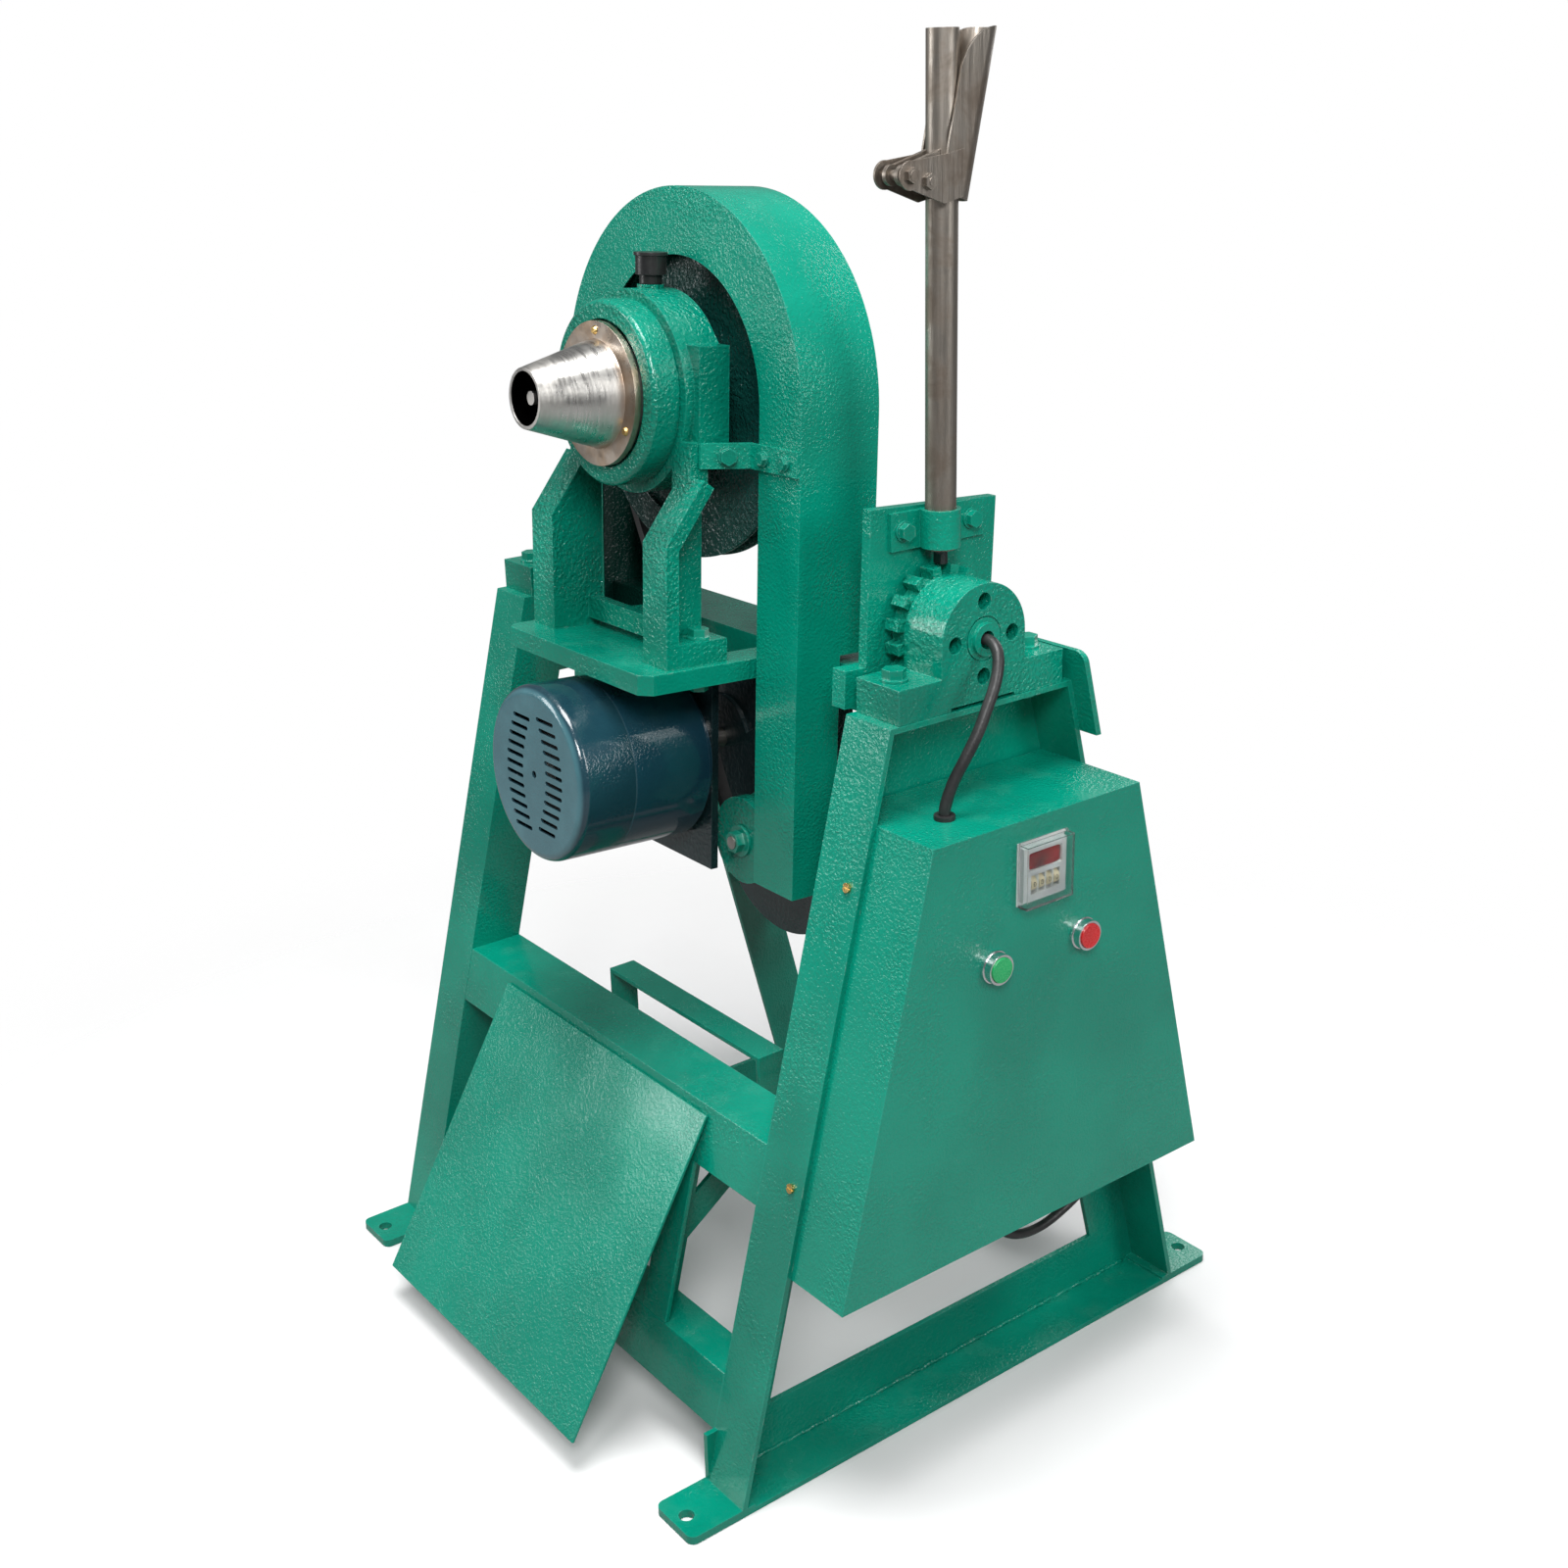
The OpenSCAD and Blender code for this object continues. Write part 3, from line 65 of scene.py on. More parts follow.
def set_camera():
    """Camera on the operator's right front corner, turned a little about its own axis."""
    az, el, roll = (math.radians(a) for a in (CAMERA_AZIMUTH, CAMERA_HEIGHT, CAMERA_ROLL))
    back = Vector((math.sin(az) * math.cos(el), -math.cos(az) * math.cos(el), math.sin(el)))
    right = (-back).cross(Vector((0, 0, 1))).normalized()
    up = right.cross(-back)
    x_axis = right * math.cos(roll) + up * math.sin(roll)
    y_axis = up * math.cos(roll) - right * math.sin(roll)
    lens = bpy.data.cameras.new("camera")
    lens.lens, lens.sensor_width, lens.clip_start = LENS_MM, SENSOR_MM, NEAREST
    camera = bpy.data.objects.new("camera", lens)
    turn = Matrix((x_axis, y_axis, back)).transposed().to_4x4()
    camera.matrix_world = Matrix.Translation(CAMERA_PLACE) @ turn
    bpy.context.scene.collection.objects.link(camera)
    bpy.context.scene.camera = camera


set_camera()


# ---------- mesh helpers ----------

# A tube's sides are squared from this direction, which no cable or bead runs along
ASKEW = (0.31, 0.17, -0.93)


def add_mesh(name, points, faces):
    """Smooth object at the origin from an (n, 3) array of points and a list of faces."""
    mesh = bpy.data.meshes.new(name)
    mesh.from_pydata(np.asarray(points, float).tolist(), [], [[int(k) for k in face] for face in faces])
    mesh.polygons.foreach_set("use_smooth", [True] * len(mesh.polygons))
    mesh.update()
    thing = bpy.data.objects.new(name, mesh)
    bpy.context.scene.collection.objects.link(thing)
    return thing


def grid_faces(rows, cols):
    """Quads of a (rows, cols) grid that closes on itself across its columns."""
    r, c = np.meshgrid(np.arange(rows - 1), np.arange(cols), indexing="ij")
    n = (c + 1) % cols
    return np.stack([r * cols + c, r * cols + n, (r + 1) * cols + n, (r + 1) * cols + c], -1).reshape(-1, 4)


def closed_faces(rows, cols):
    """grid_faces with a triangle fan on each end; the two end middles follow the grid's points."""
    k = np.arange(cols)
    n = (k + 1) % cols
    first, last = rows * cols, rows * cols + 1
    ends = [[first, b, a] for a, b in zip(k, n)]
    ends += [[last, (rows - 1) * cols + a, (rows - 1) * cols + b] for a, b in zip(k, n)]
    return grid_faces(rows, cols).tolist() + ends


def smooth_path(points, per_span):
    """Catmull-Rom curve: each span is the cubic through its two ends that leaves them along the chord of
    their neighbours."""
    p = np.vstack([2 * points[0] - points[1], points, 2 * points[-1] - points[-2]])
    t = np.linspace(0, 1, per_span, endpoint=False)[:, None]
    spans = [0.5 * (2 * b + (c - a) * t + (2 * a - 5 * b + 4 * c - d) * t ** 2
                    + (3 * b - a - 3 * c + d) * t ** 3)
             for a, b, c, d in zip(p, p[1:], p[2:], p[3:])]
    return np.vstack(spans + [points[-1:]])


def tube(name, line, radius, around=20, ripple=None):
    """Circle of the given radius carried square to the line: point + r (cos u side + sin u lift), where r may
    be an array with one value a point, and ripple is a share added to it at each point."""
    ahead = np.gradient(line, axis=0)
    ahead /= np.linalg.norm(ahead, axis=1)[:, None]
    side = np.cross(ahead, ASKEW)
    side /= np.linalg.norm(side, axis=1)[:, None]
    lift = np.cross(ahead, side)
    u = np.linspace(0, 2 * np.pi, around, endpoint=False)[None, :, None]
    r = np.broadcast_to(np.asarray(radius, float), (len(line),))[:, None, None]
    if ripple is not None:
        r = r * (1 + ripple[:, None, None])
    ring = line[:, None] + r * (np.cos(u) * side[:, None] + np.sin(u) * lift[:, None])
    points = np.vstack([ring.reshape(-1, 3), line[:1], line[-1:]])
    faces = [f[::-1] for f in closed_faces(len(line), around)]
    return add_mesh(name, points, faces)


# ---------- cables ----------

# Routes in millimetres: out of the trunnion to the box's top grommet, and a loop under the box's floor
LEAD_ROUTE = np.array([
    [300, 0, 745], [314, 0, 745], [326, 0, 744], [336, -3, 738], [343, -9, 727], [347, -17, 713],
    [349, -27, 697], [350, -37, 680], [348, -48, 661], [344, -58, 641], [342, -65, 621],
    [342, -66, 608], [342, -66, 596]]) / 1000
LOOP_ROUTE = np.array([
    [330, 5, 238], [330, 5, 222], [330, 6, 205], [330, 12, 186], [330, 25, 170], [330, 46, 160],
    [330, 72, 158], [330, 98, 164], [330, 122, 174], [330, 146, 188], [330, 156.4, 205],
    [330, 157, 222], [330, 157, 238]]) / 1000
HEAD_CABLE_WIDTH, SUPPLY_CABLE_WIDTH = 0.010, 0.009
POINTS_PER_SPAN = 6


def run_cable(name, route, diameter, stands_for):
    """A round cable on a smooth curve through its route, held at both ends in the machine."""
    line = smooth_path(route, POINTS_PER_SPAN)
    cable = tube(name, line, diameter / 2)
    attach(cable, "stand")
    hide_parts(stands_for)
    return cable


lead = run_cable("head_cable", LEAD_ROUTE, HEAD_CABLE_WIDTH, "head_lead")
loop = run_cable("supply_cable", LOOP_ROUTE, SUPPLY_CABLE_WIDTH, "supply_loop")


# ---------- node groups ----------

def new_group(name, sockets_in, sockets_out):
    """Shader node group with the given (name, kind, value) inputs and (name, kind) outputs."""
    group = bpy.data.node_groups.new(name, "ShaderNodeTree")
    kinds = {"value": "NodeSocketFloat", "vector": "NodeSocketVector"}
    for label, kind, value in sockets_in:
        socket = group.interface.new_socket(label, in_out="INPUT", socket_type=kinds[kind])
        if value is not None:
            socket.default_value = value
    for label, kind in sockets_out:
        group.interface.new_socket(label, in_out="OUTPUT", socket_type=kinds[kind])
    return group, group.nodes.new("NodeGroupInput"), group.nodes.new("NodeGroupOutput")


def maths(tree, how, a, b=None, c=None):
    """Math node on sockets or numbers; its result socket."""
    node = tree.nodes.new("ShaderNodeMath")
    node.operation = how
    for slot, value in zip(node.inputs, (a, b, c)):
        feed(tree, slot, value)
    return node.outputs[0]


def feed(tree, socket, value):
    """Links a socket, or sets a plain value."""
    if isinstance(value, bpy.types.NodeSocket):
        tree.links.new(value, socket)
    elif value is not None:
        socket.default_value = value


def noise(tree, vector, scale, detail=2.0, rough=0.5, warp=0.0):
    """Noise texture on a vector; its value socket."""
    node = tree.nodes.new("ShaderNodeTexNoise")
    feed(tree, node.inputs["Vector"], vector)
    feed(tree, node.inputs["Scale"], scale)
    node.inputs["Detail"].default_value = detail
    node.inputs["Roughness"].default_value = rough
    node.inputs["Distortion"].default_value = warp
    return node.outputs[0]


def ramp(tree, value, low, high, to_low=0.0, to_high=1.0):
    """Smooth step of a value from low..high to to_low..to_high."""
    node = tree.nodes.new("ShaderNodeMapRange")
    node.interpolation_type = "SMOOTHSTEP"
    labels = ("Value", "From Min", "From Max", "To Min", "To Max")
    for label, given in zip(labels, (value, low, high, to_low, to_high)):
        feed(tree, node.inputs[label], given)
    return node.outputs[0]


def blend_colour(tree, share, a, b):
    """Mixes two colours or colour sockets: a where the share is 0 and b where it is 1."""
    node = tree.nodes.new("ShaderNodeMix")
    node.data_type = "RGBA"
    feed(tree, node.inputs[0], share)
    for socket, value in ((node.inputs[6], a), (node.inputs[7], b)):
        feed(tree, socket, value if isinstance(value, bpy.types.NodeSocket) else (*value, 1.0))
    return node.outputs[2]


def make_orange_peel():
    """Lumps of sprayed hammer enamel: rounded pimples of two sizes, thicker in some places than others."""
    group, into, out = new_group("orange_peel", [("Vector", "vector", None), ("Scale", "value", 260.0)],
                                 [("Height", "value"), ("Hollows", "value")])
    where, scale = into.outputs["Vector"], into.outputs["Scale"]
    fine = noise(group, where, scale, 1.5, 0.45, 0.3)
    broad = noise(group, where, maths(group, "MULTIPLY", scale, 0.36), 2.0, 0.5, 0.6)
    patch = ramp(group, noise(group, where, 14.0, 2.0), 0.38, 0.66, 0.35, 1.0)
    pimples = ramp(group, fine, 0.40, 0.64)
    lumps = maths(group, "MULTIPLY", pimples, patch)
    height = maths(group, "ADD", lumps, maths(group, "MULTIPLY", broad, 0.7))
    group.links.new(height, out.inputs["Height"])
    hollows = maths(group, "MULTIPLY", ramp(group, fine, 0.52, 0.36), patch)
    group.links.new(hollows, out.inputs["Hollows"])
    return group


def make_edge_wear():
    """Where an edge is sharp: one less the likeness of the true normal and a rounded one, broken by noise."""
    group, into, out = new_group(
        "edge_wear", [("Vector", "vector", None), ("Width", "value", 0.002), ("Amount", "value", 0.5)],
        [("Mask", "value"), ("Edge", "value")])
    rounded = group.nodes.new("ShaderNodeBevel")
    rounded.samples = 4
    group.links.new(into.outputs["Width"], rounded.inputs["Radius"])
    true = group.nodes.new("ShaderNodeNewGeometry")
    dot = group.nodes.new("ShaderNodeVectorMath")
    dot.operation = "DOT_PRODUCT"
    group.links.new(rounded.outputs[0], dot.inputs[0])
    group.links.new(true.outputs["Normal"], dot.inputs[1])
    edge = ramp(group, dot.outputs["Value"], 0.985, 0.86)
    chips = noise(group, into.outputs["Vector"], 90.0, 5.0, 0.62)
    kept = maths(group, "MULTIPLY", maths(group, "SUBTRACT", 1.05, into.outputs["Amount"]), 0.72)
    worn = maths(group, "MULTIPLY", edge, ramp(group, chips, kept, maths(group, "ADD", kept, 0.10)))
    group.links.new(worn, out.inputs["Mask"])
    group.links.new(edge, out.inputs["Edge"])
    return group


def make_grime():
    """Slow drift of tone with settled dust: broad noise, and a finer one that lies on faces looking up."""
    group, into, out = new_group("grime", [("Vector", "vector", None), ("Scale", "value", 6.0)],
                                 [("Drift", "value"), ("Dust", "value")])
    where = into.outputs["Vector"]
    drift = ramp(group, noise(group, where, into.outputs["Scale"], 3.0), 0.32, 0.68)
    group.links.new(drift, out.inputs["Drift"])
    facing = group.nodes.new("ShaderNodeTexCoord")
    split = group.nodes.new("ShaderNodeSeparateXYZ")
    group.links.new(facing.outputs["Normal"], split.inputs[0])
    up = ramp(group, split.outputs["Z"], 0.35, 1.0)
    dust = maths(group, "MULTIPLY", up, ramp(group, noise(group, where, 38.0, 4.0), 0.45, 0.75))
    group.links.new(dust, out.inputs["Dust"])
    return group


def make_streaks():
    """Drawn or brushed marks: noise squeezed along one axis by the Stretch vector."""
    group, into, out = new_group(
        "streaks", [("Vector", "vector", None), ("Stretch", "vector", None), ("Scale", "value", 40.0)],
        [("Lines", "value"), ("Stain", "value")])
    pull = group.nodes.new("ShaderNodeVectorMath")
    pull.operation = "MULTIPLY"
    group.links.new(into.outputs["Vector"], pull.inputs[0])
    group.links.new(into.outputs["Stretch"], pull.inputs[1])
    lines = noise(group, pull.outputs[0], into.outputs["Scale"], 4.0, 0.65)
    stain = noise(group, into.outputs["Vector"], 22.0, 4.0, 0.6, 0.4)
    group.links.new(ramp(group, lines, 0.3, 0.7), out.inputs["Lines"])
    group.links.new(ramp(group, stain, 0.40, 0.66), out.inputs["Stain"])
    return group


PEEL, WEAR, GRIME, STREAKS = make_orange_peel(), make_edge_wear(), make_grime(), make_streaks()


# ---------- finishes ----------

GREEN, MID_GREEN = (0.001, 0.285, 0.190), (0.001, 0.225, 0.150)
DEEP, PALE = (0.0005, 0.150, 0.100), (0.03, 0.42, 0.32)
# The last of these is dark primer, drawn near-black as painted shade inside the guard
GREEN_PRIMER, BLUE_PRIMER, DARK_PRIMER_AND_SHADE = (0.16, 0.34, 0.27), (0.22, 0.28, 0.32), (0.004, 0.022, 0.018)
DUST_ON_GREEN, PALE_DUST = (0.20, 0.36, 0.30), (0.45, 0.45, 0.42)
# Of the last two colours, one is painted shade for the nose's bore and one is painted light for the fan
# cover's front face
TEA_STAIN, BORE_SHADE, LIT_FACE_BLUE = (0.46, 0.345, 0.250), (0.006, 0.006, 0.006), (0.075, 0.205, 0.240)


def new_finish(name):
    """Material with an empty tree, its shader and the object-space position."""
    finish = bpy.data.materials.new(name)
    finish.use_nodes = True
    tree = finish.node_tree
    shader = tree.nodes["Principled BSDF"]
    place = tree.nodes.new("ShaderNodeTexCoord").outputs["Object"]
    return finish, tree, shader, place


def use_group(tree, group, place, **values):
    """Places a node group on the object-space position."""
    node = tree.nodes.new("ShaderNodeGroup")
    node.node_tree = group
    tree.links.new(place, node.inputs["Vector"])
    for label, value in values.items():
        feed(tree, node.inputs[label], value)
    return node


def bump(tree, shader, height, distance):
    """Bump of a height socket into the shader's normal."""
    node = tree.nodes.new("ShaderNodeBump")
    node.inputs["Strength"].default_value = 1.0
    node.inputs["Distance"].default_value = distance
    tree.links.new(height, node.inputs["Height"])
    tree.links.new(node.outputs[0], shader.inputs["Normal"])


def enamel(name, base, deep, pale, scale, depth, gloss, wear, under=GREEN_PRIMER, coat=0.3):
    """Glossy sprayed enamel with pimples, thinner paler paint on edges and some dust. Gloss is its roughness
    where it is clean."""
    finish, tree, shader, place = new_finish(name)
    peel = use_group(tree, PEEL, place, Scale=scale)
    soil = use_group(tree, GRIME, place)
    edge = use_group(tree, WEAR, place, Amount=wear, Width=0.0022)
    tone = blend_colour(tree, soil.outputs["Drift"], base, deep)
    tone = blend_colour(tree, maths(tree, "MULTIPLY", peel.outputs["Hollows"], 0.45), tone, deep)
    tone = blend_colour(tree, maths(tree, "MULTIPLY", edge.outputs["Edge"], 0.25), tone, pale)
    tone = blend_colour(tree, maths(tree, "MULTIPLY", soil.outputs["Dust"], 0.05), tone, DUST_ON_GREEN)
    tone = blend_colour(tree, maths(tree, "MULTIPLY", edge.outputs["Mask"], 0.8), tone, under)
    tree.links.new(tone, shader.inputs["Base Color"])
    rough = maths(tree, "ADD", gloss, maths(tree, "MULTIPLY", soil.outputs["Dust"], 0.18))
    tree.links.new(maths(tree, "ADD", rough, maths(tree, "MULTIPLY", edge.outputs["Mask"], 0.3)),
                   shader.inputs["Roughness"])
    shader.inputs["Coat Weight"].default_value = coat
    shader.inputs["Coat Roughness"].default_value = 0.08
    shader.inputs["Specular IOR Level"].default_value = 0.42
    bump(tree, shader, peel.outputs["Height"], depth)
    return finish


def metal(name, base, stain, stretch, rough, stained, scale=40.0, depth=0.00006):
    """Bare metal with drawn lines, duller stains and brighter worn edges."""
    finish, tree, shader, place = new_finish(name)
    marks = use_group(tree, STREAKS, place, Stretch=stretch, Scale=scale)
    edge = use_group(tree, WEAR, place, Amount=0.6, Width=0.0012)
    tone = blend_colour(tree, maths(tree, "MULTIPLY", marks.outputs["Stain"], stained), base, stain)
    tone = blend_colour(tree, maths(tree, "MULTIPLY", marks.outputs["Lines"], 0.22), tone,
                        tuple(0.6 * c for c in base))
    tone = blend_colour(tree, maths(tree, "MULTIPLY", edge.outputs["Mask"], 0.5), tone,
                        tuple(min(1.0, 1.25 * c) for c in base))
    tree.links.new(tone, shader.inputs["Base Color"])
    shader.inputs["Metallic"].default_value = 1.0
    spread = maths(tree, "ADD", rough, maths(tree, "MULTIPLY", marks.outputs["Lines"], 0.12))
    tree.links.new(maths(tree, "ADD", spread, maths(tree, "MULTIPLY", marks.outputs["Stain"], 0.16)),
                   shader.inputs["Roughness"])
    bump(tree, shader, marks.outputs["Lines"], depth)
    return finish


def moulding(name, base, deep, rough, grain=700.0, depth=0.00008, coat=0.0):
    """Moulded plastic or rubber: fine grain, slow change of tone, scuffed edges."""
    finish, tree, shader, place = new_finish(name)
    soil = use_group(tree, GRIME, place, Scale=30.0)
    edge = use_group(tree, WEAR, place, Amount=0.2, Width=0.0010)
    grains = noise(tree, place, grain, 2.0)
    tone = blend_colour(tree, soil.outputs["Drift"], base, deep)
    tone = blend_colour(tree, maths(tree, "MULTIPLY", edge.outputs["Edge"], 0.25), tone,
                        tuple(min(1.0, c * 1.5 + 0.02) for c in base))
    tone = blend_colour(tree, maths(tree, "MULTIPLY", soil.outputs["Dust"], 0.12), tone, PALE_DUST)
    tree.links.new(tone, shader.inputs["Base Color"])
    tree.links.new(ramp(tree, grains, 0.3, 0.7, rough - 0.06, rough + 0.08), shader.inputs["Roughness"])
    shader.inputs["Coat Weight"].default_value = coat
    bump(tree, shader, grains, depth)
    return finish


def clear_plastic(name):
    """Clear moulded cover: a faint haze and fine scratches over plain transmission."""
    finish, tree, shader, place = new_finish(name)
    marks = use_group(tree, STREAKS, place, Stretch=(1.0, 6.0, 1.0), Scale=160.0)
    tree.links.new(ramp(tree, marks.outputs["Lines"], 0.0, 1.0, 0.03, 0.10), shader.inputs["Roughness"])
    tone = blend_colour(tree, maths(tree, "MULTIPLY", marks.outputs["Stain"], 0.3), (0.96, 0.98, 0.98),
                        (0.88, 0.92, 0.92))
    tree.links.new(tone, shader.inputs["Base Color"])
    shader.inputs["Transmission Weight"].default_value = 1.0
    shader.inputs["IOR"].default_value = 1.2
    bump(tree, shader, marks.outputs["Lines"], 0.00003)
    return finish


def head_place(tree, place):
    """Position in the upright head's own axes: shifted to the tilt axis and turned back by the lean."""
    node = tree.nodes.new("ShaderNodeMapping")
    node.vector_type = "TEXTURE"
    node.inputs["Location"].default_value = (0, 0, TILT_Z)
    node.inputs["Rotation"].default_value = (-HEAD_LEAN, 0, 0)
    tree.links.new(place, node.inputs["Vector"])
    split = tree.nodes.new("ShaderNodeSeparateXYZ")
    tree.links.new(node.outputs[0], split.inputs[0])
    return split


def axis_radius(tree, split, height):
    """Distance from a line along Y at a height above the tilt axis."""
    over = maths(tree, "SUBTRACT", split.outputs["Z"], height)
    square = maths(tree, "MULTIPLY", over, over)
    return maths(tree, "SQRT", maths(tree, "MULTIPLY_ADD", split.outputs["X"], split.outputs["X"], square))


def guard_enamel(name):
    """Sheet enamel that turns near-black inside the guard's shell: dark primer there, drawn darker as painted
    shade.
    """
    finish = enamel(name, GREEN, MID_GREEN, PALE, scale=380.0, depth=0.00040, gloss=0.16, wear=0.20)
    tree = finish.node_tree
    shader = tree.nodes["Principled BSDF"]
    split = head_place(tree, tree.nodes["Texture Coordinate"].outputs["Object"])
    inner = maths(tree, "LESS_THAN", axis_radius(tree, split, ARCH_UP), GUARD_INSIDE)
    below = maths(tree, "MULTIPLY", maths(tree, "LESS_THAN", split.outputs["Z"], ARCH_UP),
                  maths(tree, "LESS_THAN", maths(tree, "ABSOLUTE", split.outputs["X"]), GUARD_INSIDE))
    behind = maths(tree, "GREATER_THAN", split.outputs["Y"], GUARD_INSIDE_Y[0])
    ahead = maths(tree, "LESS_THAN", split.outputs["Y"], GUARD_INSIDE_Y[1])
    deep_in = maths(tree, "MULTIPLY", behind, ahead)
    # painted shade with dark primer: the guard's hollow inside is drawn near-black
    primer_and_shade_inside = maths(tree, "MULTIPLY", maths(tree, "MAXIMUM", inner, below), deep_in)
    old = shader.inputs["Base Color"].links[0].from_socket
    tone = blend_colour(tree, maths(tree, "MULTIPLY", primer_and_shade_inside, 0.92), old, DARK_PRIMER_AND_SHADE)
    tree.links.new(tone, shader.inputs["Base Color"])
    return finish


def nose_steel(name):
    """Turned stainless taper, tea-stained on its flange, with painted shade drawn near-black in its bore."""
    finish = metal(name, (0.66, 0.645, 0.615), (0.50, 0.45, 0.39), (1.0, 14.0, 1.0), rough=0.22,
                   stained=0.22, scale=24.0)
    tree = finish.node_tree
    shader = tree.nodes["Principled BSDF"]
    place = tree.nodes["Texture Coordinate"].outputs["Object"]
    split = head_place(tree, place)
    radius = axis_radius(tree, split, SPINDLE_UP)
    flange = ramp(tree, split.outputs["Y"], *FLANGE_Y)
    cloud = ramp(tree, noise(tree, place, 60.0, 4.0), 0.3, 0.7, 0.55, 1.0)
    old = shader.inputs["Base Color"].links[0].from_socket
    tone = blend_colour(tree, maths(tree, "MULTIPLY", flange, cloud), old, TEA_STAIN)
    # painted shade: inside the mouth, all but the stud is drawn near-black
    bore = maths(tree, "MULTIPLY", maths(tree, "LESS_THAN", radius, NOSE_BORE_R),
                 maths(tree, "GREATER_THAN", radius, STUD_R))
    inside = maths(tree, "GREATER_THAN", split.outputs["Y"], NOSE_MOUTH_Y)
    tone = blend_colour(tree, maths(tree, "MULTIPLY", bore, inside), tone, BORE_SHADE)
    tree.links.new(tone, shader.inputs["Base Color"])
    return finish


def fan_enamel(name):
    """Motor enamel drawn a lighter blue-grey on the faces that look to the front, as painted light."""
    finish = enamel(name, (0.012, 0.050, 0.070), (0.007, 0.030, 0.045), (0.14, 0.24, 0.28), scale=420.0,
                    depth=0.00012, gloss=0.15, wear=0.2, under=BLUE_PRIMER, coat=0.6)
    tree = finish.node_tree
    shader = tree.nodes["Principled BSDF"]
    split = tree.nodes.new("ShaderNodeSeparateXYZ")
    tree.links.new(tree.nodes.new("ShaderNodeTexCoord").outputs["Normal"], split.inputs[0])
    # painted light: faces turned to the front are drawn lighter, broken a little by noise
    front = ramp(tree, split.outputs["Y"], -0.55, -0.97)
    place = tree.nodes["Texture Coordinate"].outputs["Object"]
    cloud = ramp(tree, noise(tree, place, 26.0, 4.0), 0.3, 0.7, 0.72, 1.0)
    old = shader.inputs["Base Color"].links[0].from_socket
    blended = blend_colour(tree, maths(tree, "MULTIPLY", front, cloud), old, LIT_FACE_BLUE)
    tree.links.new(blended, shader.inputs["Base Color"])
    return finish


finishes = {
    "sheet_enamel": enamel("sheet_enamel", GREEN, MID_GREEN, PALE, scale=380.0, depth=0.00040,
                           gloss=0.19, wear=0.20),
    "iron_enamel": enamel("iron_enamel", GREEN, (0.001, 0.190, 0.126), PALE, scale=340.0, depth=0.00036,
                          gloss=0.16, wear=0.24),
    "cast_enamel": enamel("cast_enamel", GREEN, DEEP, PALE, scale=290.0, depth=0.0008,
                          gloss=0.15, wear=0.26),
    "motor_enamel": enamel("motor_enamel", (0.012, 0.055, 0.085), (0.007, 0.034, 0.055), (0.12, 0.20, 0.26),
                           scale=420.0, depth=0.00012, gloss=0.12, wear=0.18, under=BLUE_PRIMER, coat=0.9),
    "fan_enamel": fan_enamel("fan_enamel"),
    "dark_enamel": enamel("dark_enamel", (0.012, 0.030, 0.034), (0.006, 0.016, 0.018), (0.06, 0.09, 0.10),
                          scale=260.0, depth=0.0003, gloss=0.26, wear=0.25, under=(0.15, 0.16, 0.16),
                          coat=0.4),
    "nose_steel": nose_steel("nose_steel"),
    "guard_enamel": guard_enamel("guard_enamel"),
    "bolt_enamel": enamel("bolt_enamel", GREEN, DEEP, (0.06, 0.50, 0.40), scale=420.0, depth=0.00010,
                          gloss=0.12, wear=0.25),
    # A dark green-grey casting for the large pulley, drawn darker still as painted shade for its place inside
    # the guard
    "shaded_dark_casting": enamel("shaded_dark_casting", (0.005, 0.070, 0.055), (0.003, 0.035, 0.030), (0.03, 0.20, 0.16),
                           scale=260.0, depth=0.0009, gloss=0.24, wear=0.25, under=(0.05, 0.12, 0.10),
                           coat=0.1),
    "bare_steel": metal("bare_steel", (0.36, 0.325, 0.285), (0.16, 0.12, 0.09), (3.0, 3.0, 0.22),
                        rough=0.34, stained=0.75, scale=48.0, depth=0.00015),
    "oiled_steel": metal("oiled_steel", (0.50, 0.48, 0.45), (0.28, 0.25, 0.22), (2.0, 0.3, 2.0),
                         rough=0.30, stained=0.4),
    "black_steel": metal("black_steel", (0.075, 0.075, 0.078), (0.035, 0.03, 0.028), (2.0, 2.0, 0.3),
                         rough=0.38, stained=0.5),
    "brass": metal("brass", (0.72, 0.50, 0.19), (0.40, 0.26, 0.09), (3.0, 3.0, 3.0),
                   rough=0.22, stained=0.4, scale=90.0),
    "chrome": metal("chrome", (0.82, 0.83, 0.84), (0.60, 0.60, 0.60), (5.0, 5.0, 5.0),
                    rough=0.10, stained=0.15, scale=120.0, depth=0.00001),
    "black_plastic": moulding("black_plastic", (0.012, 0.012, 0.013), (0.022, 0.022, 0.022), rough=0.34),
    "white_plastic": moulding("white_plastic", (0.62, 0.64, 0.63), (0.50, 0.52, 0.51), rough=0.35),
    "rubber": moulding("rubber", (0.014, 0.014, 0.015), (0.030, 0.030, 0.030), rough=0.42, grain=420.0,
                       depth=0.00015),
    "green_plastic": moulding("green_plastic", (0.015, 0.42, 0.13), (0.010, 0.32, 0.10), rough=0.26,
                              coat=0.5),
    "red_plastic": moulding("red_plastic", (0.68, 0.018, 0.02), (0.52, 0.012, 0.014), rough=0.26, coat=0.5),
    "ivory_plastic": moulding("ivory_plastic", (0.66, 0.58, 0.38), (0.54, 0.46, 0.28), rough=0.42),
    "red_window": moulding("red_window", (0.34, 0.006, 0.008), (0.12, 0.003, 0.004), rough=0.12, coat=1.0),
    "clear_cover": clear_plastic("clear_cover"),
}
